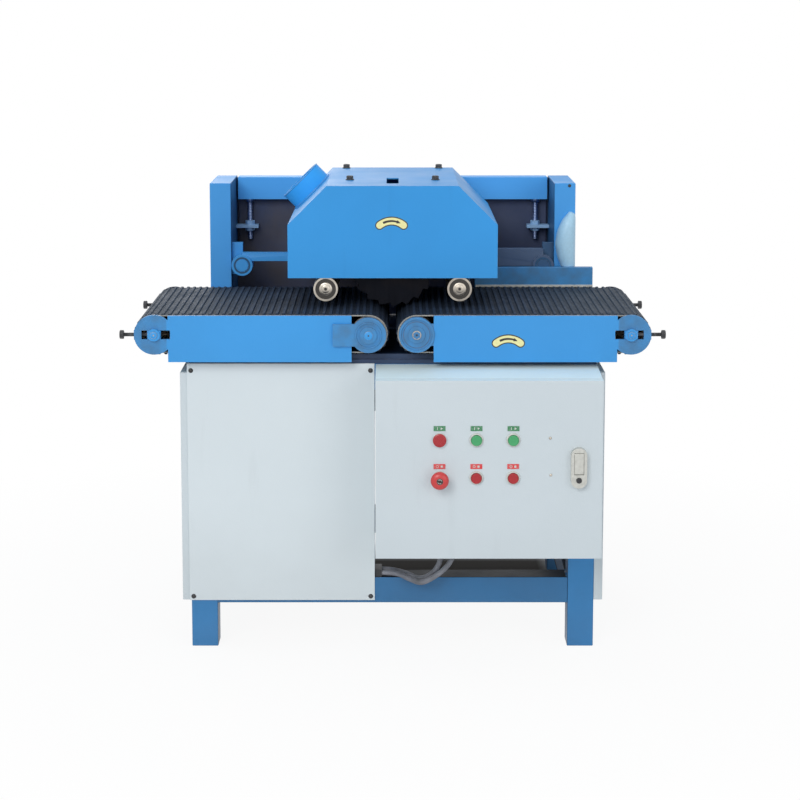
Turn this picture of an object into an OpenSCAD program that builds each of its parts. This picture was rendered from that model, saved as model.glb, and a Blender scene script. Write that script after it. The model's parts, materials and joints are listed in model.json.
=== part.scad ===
// Multi rip saw: two ribbed belt conveyors feed timber under a hood that holds a bank of saw blades.
// X runs with the feed, Y from the control side to the rear, Z up from the floor, in millimetres.

/* [Base] */
// Height of the base frame
frame_h = 660; // [600:5:720]
// Width of the base frame over its legs
frame_w = 922; // [900:2:980]
// Depth of the base frame over its legs
frame_d = 665; // [650:5:740]
// Side of the square frame tube
tube = 60; // [50:1:66]
// Wall of the frame tube
tube_wall = 4; // [2:0.5:6]
// Height of the lower rails above the floor
rail_z = 103; // [70:1:120]
// Thickness of the deck plate
deck_t = 10; // [6:1:16]
// Thickness of the left cover's sheet
cover_t = 3; // [1.5:0.5:5]
// Depth of the folded side trays
tray_d = 20; // [12:1:28]
// Sheet of the side trays
tray_t = 2; // [1:0.5:4]

/* [Cabinet] */
// Reach of the cabinet past the frame's right side
cab_over = 1; // [-4:1:6]
// Width of the cabinet
cab_w = 500; // [480:5:520]
// Height of the cabinet
cab_h = 400; // [360:5:420]
// Depth of the cabinet with its door
cab_d = 150; // [140:1:190]
// Sheet of the cabinet and its door
cab_wall = 2; // [1.5:0.5:3]
// Depth of the folded door
door_d = 18; // [17:0.5:24]
// Gap between the door and the cabinet
door_gap = 5; // [5:0.5:7]
// Space from the deck down to the cabinet's top
cab_drop = 20; // [12:1:40]
// Column of the left controls, from the cabinet's left side
button_x = 141; // [100:1:180]
// Spacing of the control columns
button_pitch = 81; // [60:1:95]
// Height of the upper controls in the cabinet
button_z = 268; // [240:1:300]
// Spacing of the control rows
button_row = 85; // [70:1:100]
// Radius of a push button's cap
cap_r = 11.7; // [10.5:0.1:12.5]
// Radius of the emergency stop's head
estop_r = 20; // [16:0.5:24]
// Reach of the emergency stop in front of the door
estop_out = 38; // [32:1:45]
// Radius of the lock's round ends
lock_r = 17.5; // [16:0.5:22]
// Length of the lock
lock_l = 90; // [84:1:110]
// Radius of a control cable
cable_r = 6; // [4:0.5:7]

/* [Conveyors] */
// Height of the roller axes above the deck
roller_up = 62; // [58:1:70]
// Radius of the conveyor rollers
roller_r = 40; // [38:0.5:41]
// Distance of the drive roller axes from the middle
drive_x = 54; // [53:1:60]
// Distance of the idler roller axes from the middle
idler_x = 534; // [528:1:560]
// Width of the belts
belt_w = 420; // [400:5:440]
// Thickness of the belt under its ribs
belt_t = 3; // [2:0.5:4]
// Height of the belt ribs
rib_h = 3; // [1:0.5:3.5]
// Spacing of the belt ribs
rib_pitch = 15; // [12:0.5:24]
// Thickness of the conveyor side plates
plate_t = 6; // [4:0.5:8]
// Height of the conveyor side plates
plate_h = 105; // [100:1:108]
// Inner end of the side plates from the middle
plate_x1 = 92; // [88:1:100]
// Outer end of the side plates from the middle
plate_x2 = 503; // [480:1:504]
// Reach of the side plates in front of the base frame
plate_out = 35; // [20:1:50]
// Radius of the drive roller shafts
shaft_r = 10; // [8:0.5:12]
// Inward travel of the belt take-up
take_up_travel = 20; // [5:1:20]
// Radius of the tension bolts
bolt_r = 4.5; // [3:0.5:6]

/* [Saw head] */
// Radius of the saw blades
blade_r = 100; // [80:1:101]
// Thickness of a saw blade
blade_t = 3; // [2:0.2:4]
// Number of saw blades
blade_count = 9; // [3:1:11]
// Distance between the blades
blade_gap = 20; // [12:1:22]
// Height of the arbor axis above the roller axes
arbor_up = 139; // [138:1:150]
// Radius of the arbor
arbor_r = 20; // [15:0.5:24]
// Width of the hood
hood_w = 478; // [460:2:500]
// Underside of the hood above the roller axes
hood_up = 114; // [108:1:120]
// Height of the hood
hood_h = 211; // [205:1:230]
// Depth of the hood
hood_d = 490; // [480:5:500]
// Chamfer along the hood's upper edges
hood_chamfer = 89; // [86:1:100]
// Sheet of the hood
hood_t = 3; // [2:0.5:5]
// Radius of the dust port
port_r = 55; // [40:1:58]
// Length of the dust port
port_l = 42; // [20:1:80]
// Height travel of the saw head
head_travel = 20; // [5:1:20]
// Radius of the lift screws
screw_r = 7; // [5:0.5:9]
// Radius of the main motor's body
motor_r = 92; // [80:1:96]
// Length of the main motor
motor_l = 270; // [240:5:320]
// Radius of the press rollers
press_r = 28; // [24:0.5:30]
// Distance of the press roller axes from the middle
press_x = 153; // [148:1:160]

/* [Gantry] */
// Width of a gantry post
post_w = 52; // [44:1:56]
// Space from the posts to the frame's sides
post_in = 12; // [9:1:17]
// Height of the posts' top above the roller axes
post_up = 296; // [290:1:320]
// Wall of the posts
post_t = 6; // [4:0.5:8]
// Height of the cross beam
beam_h = 56; // [48:1:60]
// Depth of the cross beam
beam_d = 52; // [46:1:54]

/* [Hidden] */
$fn = 64;
// Running clearance on a shaft and sliding clearance between parts
run_fit = 0.05;
slide_fit = 0.3;

// Paint and material colours
blue = [0.26, 0.59, 0.86];
white = [0.84, 0.87, 0.88];
black = [0.16, 0.17, 0.19];
steel = [0.75, 0.73, 0.69];
zinc = [0.77, 0.77, 0.75];
dark = [0.22, 0.23, 0.26];
red = [0.75, 0.2, 0.2];
green = [0.27, 0.65, 0.41];

// Planes of the machine from the control side to the rear
head_back = 20;
front_y = -(estop_out + cab_d + frame_d - head_back + motor_l) / 2;
door_y = front_y + estop_out;
frame_y = door_y + cab_d;
frame_y2 = frame_y + frame_d;
plate_y = frame_y - plate_out;
belt_gap = 6;
belt_y1 = plate_y + plate_t + belt_gap;
belt_y2 = belt_y1 + belt_w;
back_plate_y = belt_y2 + belt_gap;
conv_y2 = back_plate_y + plate_t;
bearing_t = 8;
chain_t = 12;
chain_y = conv_y2 + bearing_t + 2;
arm_y = conv_y2 + 13;
arm_boss_l = 32;
post_y1 = conv_y2 + 30;
post_y2 = frame_y2 - 8;
head_t = 12;
head_y2 = frame_y2 - head_back;
head_y1 = head_y2 - head_t;
beam_y1 = post_y2 - beam_d;
hood_y1 = plate_y + 100;
hood_y2 = hood_y1 + hood_d;

// Base frame and deck
deck_top = frame_h + deck_t;
roller_z = deck_top + roller_up;
cab_x = frame_w / 2 + cab_over - cab_w;
post_x = frame_w / 2 - post_in - post_w;
leg_x = frame_w / 2 - tube / 2;
leg_y1 = frame_y + tube / 2;
leg_y2 = frame_y2 - tube / 2;
panel_gap = 3;
cover_x1 = -frame_w / 2 - 4;
cover_x2 = cab_x - panel_gap;
cover_z1 = rail_z + 7;
cover_z2 = frame_h + 1;
cover_screw_r = 2.5;
cover_screw_in = 9;
centre_post_x = cover_x2 - tube / 2;
foot_h = 12;
foot_w = 40;
foot_edge = 1;
foot_x = [plate_x1 + 58, frame_w / 2 - foot_w / 2 - foot_edge];

// Cabinet, its controls and its lock
cab_z = deck_top - cab_drop - cab_h;
contactor_w = 60;
contactor_gap = 20;
contactor_d = 60;
contactor_h = 90;
contactor_z = cab_z + cab_h / 2;
contact_in = 8;
contact_d = 15;
cab_x2 = cab_x + cab_w;
body_y = door_y + door_d + door_gap;
lip = 24;
hinge_x = cab_x + 7;
hinge_y = door_y + door_d - 4;
hinge_z = [cab_z + 70, cab_z + cab_h - 70];
hinge_pin_r = 3;
hinge_barrel_r = 4.5;
hinge_barrel_l = 24;
knuckle_l = 16;
bezel_r = 15.5;
bezel_h = 6;
bezel_floor = 1.5;
bezel_fit = 0.4;
barrel_r = 11;
stem_r = 8.8;
barrel_y2 = door_y + door_d + 7;
cap_h = 5;
lock_x = cab_x2 - 53;
lock_z = cab_z + 207;
lock_t = 14;
lock_pocket_w = 11;
lever_pivot = lock_z + 30;
lever_t = 7;
lever_l = 44;
lock_button_r = 6;
lock_button_z = lock_z - 27;
columns = [cab_x + button_x, cab_x + button_x + button_pitch, cab_x + button_x + 2 * button_pitch];
row_top = cab_z + button_z;
row_low = row_top - button_row;

// Cable ends and routes: X, distance behind the frame's front plane, Z
gland_x = [112, 138];
gland_y = -55;
gland_h = 18;
gland_r = 13;
route_a = [[-25, 40, 170.5], [0, 34, 170.5], [26, 12, 170.5], [40, -4, 169.8], [58, -16, 166], [80, -28, 174],
    [100, -42, 197], [112, -55, 232]];
route_b = [[-25, 12, 170.5], [4, 6, 170.5], [20, -4, 169.8], [38, -18, 165], [66, -40, 163], [98, -51, 182],
    [124, -54, 206], [138, -55, 232]];

// Conveyors
belt_in = roller_r + slide_fit;
belt_out = belt_in + belt_t;
plate_z = deck_top;
plate_top = plate_z + plate_h;
slot_h = 20;
block_w = 30;
slot_x1 = idler_x - block_w / 2 - take_up_travel - 1;
slot_x2 = idler_x + 28;
lug_x1 = slot_x2 + 3;
bracket_h = 56;
end_r = roller_r + 5;
lug_x2 = idler_x + end_r;
idler_shaft_r = 8;
bolt_planes = [plate_y + plate_t, back_plate_y];
lug_half = bolt_r + 1;
bolt_out = 23;
bolt_head = 9;
bed_x1 = drive_x + roller_r + 16;
bed_x2 = idler_x - roller_r - take_up_travel - 5;
bed_t = 4;
run = idler_x - drive_x;
belt_length = 2 * run + 2 * PI * belt_out;
rib_count = round(belt_length / rib_pitch);
rib_step = belt_length / rib_count;

// Feed drive
feed_z = frame_h - 130;
sprocket_r = 30;
sprocket_teeth = 14;
chain_fit = 0.6;
chain_h = 6;

// Saw head
arbor_z = roller_z + arbor_up;
hood_z = roller_z + hood_up;
hood_top = hood_z + hood_h;
blade_y = hood_y1 + 60;
blade_step = blade_gap + blade_t;
blade_end = blade_y + (blade_count - 1) * blade_step + blade_t;
spacer_r = arbor_r + 10;
blade_teeth = 20;
head_clear = 2;
housing_r = arbor_r + 28;
housing_y1 = blade_end + 40;
motor_shaft_r = 14;
motor_shaft_l = 40;
post_top = roller_z + post_up;
beam_z = post_top - beam_h;
beam_end = post_x - 5;
screw_x = post_x - 34;
screw_y = beam_y1 + 14;
lug_z = roller_z + 167;
lug_t = 8;
nut_r = screw_r + 5;
nut_top = 10;
nut_low = 8;
screw_bottom = lug_z - nut_low - head_travel - 1;

// Press arms and rollers
pivot_r = 15;
boss_r = 26;
pivot_x = post_x - boss_r - 1;
pivot_z = roller_z + 95;
press_z = roller_z + 88;
axle_r = 12;
press_y1 = hood_y1 + hood_t + 3;
press_y2 = back_plate_y + 2;
bar_y1 = arm_y + 5;
bar_y2 = bar_y1 + 20;
bar_low = [10, -2];
bar_high = [31, 41];
bracket_y1 = arm_y + arm_boss_l + 1;
bracket_y2 = bracket_y1 + 14;
fence_top = plate_top + 50;
fence_x1 = press_x + press_r + 20;
fence_x2 = 490;
cover_h = 133;

// Box between two corners
module box(x1, x2, y1, y2, z1, z2) {
    translate([x1, y1, z1]) cube([x2 - x1, y2 - y1, z2 - z1]);
}

// Round bar along Y between two planes
module bar_y(r, y1, y2, x, z) {
    translate([x, y1, z]) rotate([-90, 0, 0]) cylinder(r = r, h = y2 - y1);
}

// Round bar along X between two planes
module bar_x(r, x1, x2, y, z) {
    translate([x1, y, z]) rotate([0, 90, 0]) cylinder(r = r, h = x2 - x1);
}

// Outline in X and Z drawn out along Y
module profile_y(y1, y2) {
    translate([0, y2, 0]) rotate([90, 0, 0]) linear_extrude(y2 - y1) children();
}

// The same piece on the left and on the right
module both_sides() {
    children();
    mirror([1, 0, 0]) children();
}

// Square frame tube, standing on the origin
module frame_tube(l) {
    bore = tube - 2 * tube_wall;
    difference() {
        translate([-tube / 2, -tube / 2, 0]) cube([tube, tube, l]);
        translate([-bore / 2, -bore / 2, -1]) cube([bore, bore, l + 2]);
    }
}

module legs() {
    color(blue) {
        for (x = [-leg_x, leg_x], y = [leg_y1, leg_y2])
            translate([x, y, 0]) frame_tube(frame_h);
        translate([centre_post_x, leg_y1, rail_z + tube]) frame_tube(frame_h - rail_z - 2 * tube);
    }
}

module rails() {
    color(blue) for (z = [rail_z + tube / 2, frame_h - tube / 2]) {
        for (y = [leg_y1, leg_y2])
            translate([-leg_x + tube / 2, y, z]) rotate([0, 90, 0]) frame_tube(2 * leg_x - tube);
        for (x = [-leg_x, leg_x])
            translate([x, leg_y1 + tube / 2, z]) rotate([-90, 0, 0]) frame_tube(leg_y2 - leg_y1 - tube);
    }
}

module deck_plate() {
    color(blue) {
        difference() {
            box(-frame_w / 2, frame_w / 2, frame_y, frame_y2, frame_h, deck_top);
            box(-80, 80, chain_y - 4, chain_y + chain_t + 4, frame_h - 1, deck_top + 1);
        }
        for (x = foot_x) both_sides()
            box(x - foot_w / 2, x + foot_w / 2, plate_y + plate_t, back_plate_y, deck_top, deck_top + foot_h);
        box(-plate_x1, plate_x1, frame_y + 5, frame_y + 25, deck_top, deck_top + foot_h);
    }
}

function cover_screw_places() = [
    for (x = [cover_x1 + cover_screw_in, cover_x2 - cover_screw_in],
        z = [cover_z1 + cover_screw_in, cover_z2 - 16]) [x, z]];

module left_cover() {
    color(white) difference() {
        box(cover_x1, cover_x2, frame_y - cover_t, frame_y, cover_z1, cover_z2);
        for (p = cover_screw_places())
            bar_y(cover_screw_r + 0.1, frame_y - cover_t - 1, frame_y + 1, p[0], p[1]);
    }
}

module cover_screws() {
    color(black) for (p = cover_screw_places()) {
        bar_y(cover_screw_r, frame_y - cover_t, frame_y, p[0], p[1]);
        bar_y(2.2 * cover_screw_r, frame_y - cover_t - 3, frame_y - cover_t, p[0], p[1]);
    }
}

module side_trays() {
    x1 = frame_w / 2;
    x2 = x1 + tray_d;
    z2 = frame_h - 20;
    color(white) both_sides() difference() {
        box(x1, x2, frame_y, frame_y2, cover_z1, z2);
        box(x1 - 1, x2 - tray_t, frame_y + tray_t, frame_y2 - tray_t, cover_z1 + tray_t, z2 - tray_t);
    }
}

module cabinet_body() {
    color(white) difference() {
        union() {
            box(cab_x, cab_x2, body_y, frame_y, cab_z, cab_z + cab_h);
            translate([cab_x, 0, cab_z + cab_h]) rotate([90, 0, 90]) linear_extrude(cab_w)
                polygon([[body_y, -1], [body_y, 0], [frame_y, frame_h - cab_z - cab_h - 1], [frame_y, -1]]);
        }
        box(cab_x + cab_wall, cab_x2 - cab_wall, body_y + cab_wall, frame_y - cab_wall,
            cab_z + cab_wall, cab_z + cab_h - cab_wall);
        box(cab_x + lip, cab_x2 - lip, body_y - 1, body_y + cab_wall + 1, cab_z + lip, cab_z + cab_h - lip);
        for (x = gland_x)
            translate([x, frame_y + gland_y, cab_z - 1]) cylinder(r = gland_r - 3, h = cab_wall + 2);
    }
}

// Door knuckle above or below a hinge barrel
module knuckle(z) {
    box(hinge_x - 4, hinge_x + 4, door_y + cab_wall - 0.5, hinge_y + 4, z, z + knuckle_l);
}

module cabinet_door() {
    half = hinge_barrel_l / 2 + slide_fit;
    color(white) difference() {
        union() {
            difference() {
                box(cab_x, cab_x2, door_y, door_y + door_d, cab_z, cab_z + cab_h);
                box(cab_x + cab_wall, cab_x2 - cab_wall, door_y + cab_wall, door_y + door_d + 1,
                    cab_z + cab_wall, cab_z + cab_h - cab_wall);
            }
            for (z = hinge_z) {
                knuckle(z + half);
                knuckle(z - half - knuckle_l);
            }
        }
        for (x = columns, z = [row_top, row_low])
            bar_y(barrel_r, door_y - 1, door_y + cab_wall + 1, x, z);
        bar_y(9, door_y - 1, door_y + cab_wall + 1, lock_x, lock_z);
        for (z = hinge_z)
            translate([hinge_x, hinge_y, z - 40]) cylinder(r = hinge_pin_r + run_fit, h = 80);
    }
}

// Goose-neck hinges on the cabinet's lip, with their pins
module door_hinges() {
    pin_l = hinge_barrel_l + 2 * knuckle_l;
    half = hinge_barrel_l / 2;
    color(zinc) for (z = hinge_z) {
        translate([hinge_x, hinge_y, z - half]) cylinder(r = hinge_barrel_r, h = hinge_barrel_l);
        translate([hinge_x, hinge_y, z - pin_l / 2]) cylinder(r = hinge_pin_r, h = pin_l);
        box(hinge_x, hinge_x + 15, hinge_y - 3, hinge_y + 2, z - half, z + half);
        box(hinge_x + 10, hinge_x + 15, hinge_y - 3, body_y, z - half, z + half);
    }
}

module contactors() {
    y = frame_y - cab_wall - contactor_d;
    step = contactor_w + contactor_gap;
    color(dark) for (i = [-1:1]) translate([cab_x + cab_w / 2 + i * step - contactor_w / 2, y, contactor_z]) {
        cube([contactor_w, contactor_d, contactor_h]);
        translate([contact_in, -contact_d, contactor_h / 4])
            cube([contactor_w - 2 * contact_in, contact_d, contactor_h / 2]);
    }
}

// Cap and stem of a control at one place on the door
module push_cap(x, z) {
    bar_y(cap_r, door_y - bezel_h - 4, door_y - bezel_h - 4 + cap_h, x, z);
    bar_y(stem_r, door_y - bezel_h - 4 + cap_h, barrel_y2 - 6, x, z);
}

module power_lamp() { color(red) push_cap(columns[0], row_top); }
module start_button_1() { color(green) push_cap(columns[1], row_top); }
module start_button_2() { color(green) push_cap(columns[2], row_top); }
module stop_button_1() { color(red) push_cap(columns[1], row_low); }
module stop_button_2() { color(red) push_cap(columns[2], row_low); }

module emergency_stop() {
    dome = 6;
    color(red) {
        translate([columns[0], front_y, row_low]) rotate([-90, 0, 0]) rotate_extrude()
            polygon([[0, 0], [estop_r - dome, 0], for (a = [75:-15:0])
                [estop_r - dome + dome * cos(a), dome - dome * sin(a)], [estop_r, 12], [0, 12]]);
        bar_y(stem_r, front_y + 12, barrel_y2 - 6, columns[0], row_low);
    }
}

module button_bezels() {
    color(zinc) for (x = columns, z = [row_top, row_low]) difference() {
        union() {
            bar_y(bezel_r, door_y - bezel_h, door_y, x, z);
            bar_y(barrel_r, door_y, barrel_y2, x, z);
        }
        bar_y(cap_r + bezel_fit, door_y - bezel_h - 1, door_y - bezel_floor, x, z);
        bar_y(stem_r + slide_fit, door_y - bezel_h, barrel_y2 + 1, x, z);
    }
}

module contact_blocks() {
    color(dark) for (x = columns, z = [row_top, row_low])
        box(x - 14, x + 14, barrel_y2, barrel_y2 + 26, z - 18, z + 18);
}

module legend_plates() {
    color(green) for (x = columns, z = [row_top, row_low])
        box(x - 13, x + 13, door_y - 1, door_y, z + 20, z + 31);
}

module lock_body() {
    straight = lock_l / 2 - lock_r;
    color(zinc) difference() {
        union() {
            box(lock_x - lock_r, lock_x + lock_r, door_y - lock_t, door_y,
                lock_z - straight, lock_z + straight);
            for (s = [-1, 1]) bar_y(lock_r, door_y - lock_t, door_y, lock_x, lock_z + s * straight);
            bar_y(9, door_y, door_y + door_d, lock_x, lock_z);
            box(lock_x - 7, lock_x + 7, door_y + door_d - 3, door_y + door_d, lock_z - 42, lock_z);
        }
        box(lock_x - lock_pocket_w, lock_x + lock_pocket_w, door_y - lock_t - 1, door_y - 5,
            lever_pivot - lever_l - 1, lever_pivot + lever_t / 2 + 0.5);
        bar_x(2 + run_fit, lock_x - lock_pocket_w - 2, lock_x + lock_pocket_w + 2, door_y - 9, lever_pivot);
        bar_y(lock_button_r + slide_fit, door_y - lock_t - 1, door_y - 3.5, lock_x, lock_button_z);
    }
}

module lock_lever() {
    w = lock_pocket_w - 0.5;
    color(zinc) {
        bar_x(lever_t / 2, lock_x - w, lock_x + w, door_y - 9, lever_pivot);
        bar_x(2, lock_x - lock_pocket_w - 1.5, lock_x + lock_pocket_w + 1.5, door_y - 9, lever_pivot);
        box(lock_x - w, lock_x + w, door_y - 9 - lever_t / 2, door_y - 9 + lever_t / 2,
            lever_pivot - lever_l, lever_pivot);
    }
}

module lock_button() {
    color(steel) bar_y(lock_button_r, door_y - lock_t - 3, door_y - 6, lock_x, lock_button_z);
}

module cable_glands() {
    color(dark) {
        for (x = gland_x) translate([x, frame_y + gland_y, 0]) {
            translate([0, 0, cab_z - gland_h]) cylinder(r = gland_r, h = gland_h, $fn = 6);
            translate([0, 0, cab_z]) cylinder(r = gland_r - 3.2, h = 12);
        }
        box(cover_x2, -25, frame_y + 4, frame_y + 50, rail_z + tube, rail_z + tube + 17);
    }
}

// Smooth route through hand-placed points
function spline(p, i, t) = let (
    a = p[max(i - 1, 0)], b = p[i], c = p[i + 1], d = p[min(i + 2, len(p) - 1)])
    b + (c - a) * t / 2 + (a * 2 - b * 5 + c * 4 - d) * t * t / 2 + (b * 3 - a - c * 3 + d) * t * t * t / 2;
function route_points(p) = concat([for (i = [0:len(p) - 2], t = [0, 0.5]) spline(p, i, t)], [p[len(p) - 1]]);
function unit(v) = v / norm(v);

module cable(points) {
    sides = 10;
    p = route_points([for (q = points) [q[0], q[1] + frame_y, q[2]]]);
    n = len(p);
    along = [for (i = [0:n - 1]) i == 0 ? [1, 0, 0] : i == n - 1 ? [0, 0, 1] : unit(p[i + 1] - p[i - 1])];
    rings = [for (i = [0:n - 1]) let (u = unit(cross([0, 1, 0], along[i])), v = cross(along[i], u))
        for (k = [0:sides - 1]) p[i] + cable_r * (u * cos(360 * k / sides) + v * sin(360 * k / sides))];
    walls = [for (i = [0:n - 2], k = [0:sides - 1])
        let (a = i * sides + k, b = i * sides + (k + 1) % sides)
        each [[a, a + sides, b + sides], [a, b + sides, b]]];
    caps = [for (k = [1:sides - 2]) each [[0, k, k + 1],
        [(n - 1) * sides, (n - 1) * sides + k + 1, (n - 1) * sides + k]]];
    polyhedron(points = rings, faces = concat(walls, caps));
}

module control_cables() {
    color([0.47, 0.47, 0.51]) {
        cable(route_a);
        cable(route_b);
    }
}

// Side plate on the right with its round slotted take-up end and the tapped lug of the tension bolt
module side_plate(y1, y2, bolt) {
    z1 = roller_z - bracket_h / 2;
    difference() {
        union() {
            box(plate_x1, plate_x2, y1, y2, plate_z, plate_top);
            box(plate_x2 - 1, idler_x, y1, y2, z1, z1 + bracket_h);
            bar_y(end_r, y1, y2, idler_x, roller_z);
            box(lug_x1, lug_x2, bolt - lug_half, bolt + lug_half, roller_z - 2 * lug_half,
                roller_z + 2 * lug_half);
        }
        box(slot_x1, slot_x2, y1 - 1, y2 + 1, roller_z - slot_h / 2, roller_z + slot_h / 2);
        bar_x(bolt_r + run_fit, slot_x2 - 1, lug_x2 + 1, bolt, roller_z);
    }
}

module conveyor_plates() {
    color(blue) both_sides() {
        side_plate(plate_y, plate_y + plate_t, bolt_planes[0]);
        side_plate(back_plate_y, conv_y2, bolt_planes[1]);
    }
}

module conveyor_beds() {
    z2 = roller_z + belt_in - slide_fit;
    tie = 12;
    color(steel) both_sides() {
        box(bed_x1, bed_x2, plate_y + plate_t, back_plate_y, z2 - bed_t, z2);
        for (x = [bed_x1 + 20, bed_x2 - 20 - tie])
            box(x, x + tie, plate_y + plate_t, back_plate_y, roller_z - roller_r + 8, z2 - bed_t);
    }
}

// Point on the belt's loop, lifted off its surface, at a distance along the loop
function belt_point(s, lift) = let (
    arc = PI * belt_out,
    part = s < run ? 0 : s < run + arc ? 1 : s < 2 * run + arc ? 2 : 3,
    a = part == 0 ? 90 : part == 1 ? 90 - (s - run) / belt_out * 180 / PI
        : part == 2 ? -90 : -90 - (s - 2 * run - arc) / belt_out * 180 / PI,
    x = part == 0 ? s - idler_x : part == 1 ? -drive_x
        : part == 2 ? -drive_x - (s - run - arc) : -idler_x,
    r = belt_out + lift)
    [x + r * cos(a), roller_z + r * sin(a)];

// A rib rises and falls over these shares of the rib spacing
rib_shape = [[0, 0], [0.12, 1], [0.45, 1], [0.57, 0]];

module feed_belts() {
    color(black) both_sides() difference() {
        profile_y(belt_y1, belt_y2) polygon([for (i = [0:rib_count - 1], q = rib_shape)
            belt_point((i + q[0]) * rib_step, q[1] * rib_h)]);
        for (x = [-idler_x, -drive_x]) bar_y(belt_in, belt_y1 - 1, belt_y2 + 1, x, roller_z);
        box(-idler_x, -drive_x, belt_y1 - 1, belt_y2 + 1, roller_z - belt_in, roller_z + belt_in);
    }
}

module tension_bolts() {
    color(black) both_sides() for (y = bolt_planes) {
        bar_x(bolt_r, idler_x + block_w / 2, lug_x2 + bolt_out, y, roller_z);
        translate([lug_x2 + bolt_out, y, roller_z]) rotate([0, 90, 0]) cylinder(r = 10, h = bolt_head, $fn = 6);
    }
}

// Paddle-shaped bearing arm of a drive roller on the right, up to a plane; its rings face outwards
module bearing_arm(y1, rings, x2) {
    difference() {
        union() {
            bar_y(roller_r, y1, y1 + bearing_t, drive_x, roller_z);
            box(drive_x, x2, y1, y1 + bearing_t, roller_z - 25, roller_z + 25);
            for (q = rings) difference() {
                bar_y(q[0], y1 - q[2], y1, drive_x, roller_z);
                bar_y(q[1], y1 - q[2] - 1, y1, drive_x, roller_z);
            }
        }
        bar_y(shaft_r + run_fit, y1 - 20, y1 + bearing_t + 1, drive_x, roller_z);
        box(x2, plate_x2, y1, y1 + bearing_t + 1, plate_z, plate_top);
    }
}

// Raised rings as outer radius, inner radius and height
infeed_rings = [[30, 27, 3], [19, shaft_r, 4]];
outfeed_rings = [[roller_r, roller_r - 5, 4], [19, shaft_r, 3]];

module roller_bearings() {
    lapped = plate_x1 + 42;
    color(blue) {
        mirror([1, 0, 0]) bearing_arm(plate_y - bearing_t, infeed_rings, lapped);
        bearing_arm(plate_y, outfeed_rings, plate_x1);
        both_sides() translate([0, 2 * conv_y2 + bearing_t, 0]) mirror([0, 1, 0])
            bearing_arm(conv_y2, [], lapped);
    }
}

// Conveyor roller: shaft, centre web and tube
module roller(x, radius, y1, y2) {
    tube_y1 = belt_y1;
    difference() {
        bar_y(roller_r, tube_y1, belt_y2, x, roller_z);
        bar_y(roller_r - 5, tube_y1 - 1, tube_y1 + belt_w / 2 - 15, x, roller_z);
        bar_y(roller_r - 5, tube_y1 + belt_w / 2 + 15, belt_y2 + 1, x, roller_z);
    }
    bar_y(radius, y1, y2, x, roller_z);
}

module drive_roller(x, y1) { color(steel) roller(x, shaft_r, y1 - 5, chain_y + chain_t + 2); }
module idler_roller(x) { color(steel) roller(x, idler_shaft_r, plate_y - 9, conv_y2 + 9); }

module infeed_drive_roller() { drive_roller(-drive_x, plate_y - bearing_t); }
module outfeed_drive_roller() { drive_roller(drive_x, plate_y); }
module infeed_idler_roller() { idler_roller(-idler_x); }
module outfeed_idler_roller() { idler_roller(idler_x); }

// Sliding bearing blocks of an idler, on the right
module take_up() {
    h = slot_h / 2 - slide_fit;
    color(blue) for (s = [0, 1]) translate([0, s * (plate_y + conv_y2), 0]) mirror([0, s, 0]) difference() {
        union() {
            box(idler_x - block_w / 2, idler_x + block_w / 2, plate_y - 1, plate_y + plate_t + 1,
                roller_z - h, roller_z + h);
            bar_y(14, plate_y - 7, plate_y - slide_fit, idler_x, roller_z);
            box(idler_x - block_w / 2, idler_x + block_w / 2, plate_y + plate_t + slide_fit,
                plate_y + plate_t + 4, roller_z - 18, roller_z + 18);
        }
        bar_y(idler_shaft_r + run_fit, plate_y - 10, plate_y + plate_t + 6, idler_x, roller_z);
    }
}

module outfeed_take_up() { take_up(); }
module infeed_take_up() { mirror([1, 0, 0]) take_up(); }

module feed_motor() {
    y1 = chain_y + chain_t + 4;
    color(dark) difference() {
        union() {
            box(-70, 70, y1, y1 + 60, feed_z - 70, feed_z + 70);
            bar_y(58, y1 + 60, y1 + 190, 0, feed_z);
            box(-60, 60, y1 + 5, y1 + 55, feed_z + 70, frame_h);
        }
        bar_y(shaft_r + run_fit, y1 - 1, y1 + 30, 0, feed_z);
    }
}

// Chain wheel with its hub bored for a shaft
module sprocket(x, z, bore) {
    step = 360 / sprocket_teeth;
    root = sprocket_r - 5;
    difference() {
        profile_y(chain_y + 3, chain_y + chain_t - 3) translate([x, z])
            polygon([for (i = [0:sprocket_teeth - 1], q = [[-0.32, root], [-0.12, sprocket_r],
                [0.12, sprocket_r], [0.32, root]]) q[1] * [cos((i + q[0]) * step), sin((i + q[0]) * step)]]);
        if (bore > 0) bar_y(bore, chain_y, chain_y + chain_t, x, z);
    }
}

module infeed_sprocket() { color(dark) sprocket(-drive_x, roller_z, shaft_r); }
module outfeed_sprocket() { color(dark) sprocket(drive_x, roller_z, shaft_r); }
module motor_sprocket() {
    color(dark) {
        sprocket(0, feed_z, 0);
        bar_y(shaft_r, chain_y + 3, chain_y + chain_t + 24, 0, feed_z);
    }
}

// Outline around the three chain wheels
module chain_outline(r) {
    hull() {
        for (x = [-drive_x, drive_x]) translate([x, roller_z]) circle(r, $fn = 32);
        translate([0, feed_z]) circle(r, $fn = 32);
    }
}

module feed_chain() {
    color(dark) profile_y(chain_y + 1, chain_y + chain_t - 1) difference() {
        chain_outline(sprocket_r + chain_fit + chain_h);
        chain_outline(sprocket_r + chain_fit);
    }
}

module gantry_posts() {
    color(blue) both_sides() difference() {
        box(post_x, post_x + post_w, post_y1, post_y2, deck_top, post_top);
        box(post_x + post_t, post_x + post_w - post_t, post_y1 + post_t, post_y2 - post_t,
            deck_top - 1, post_top - post_t);
    }
}

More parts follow.
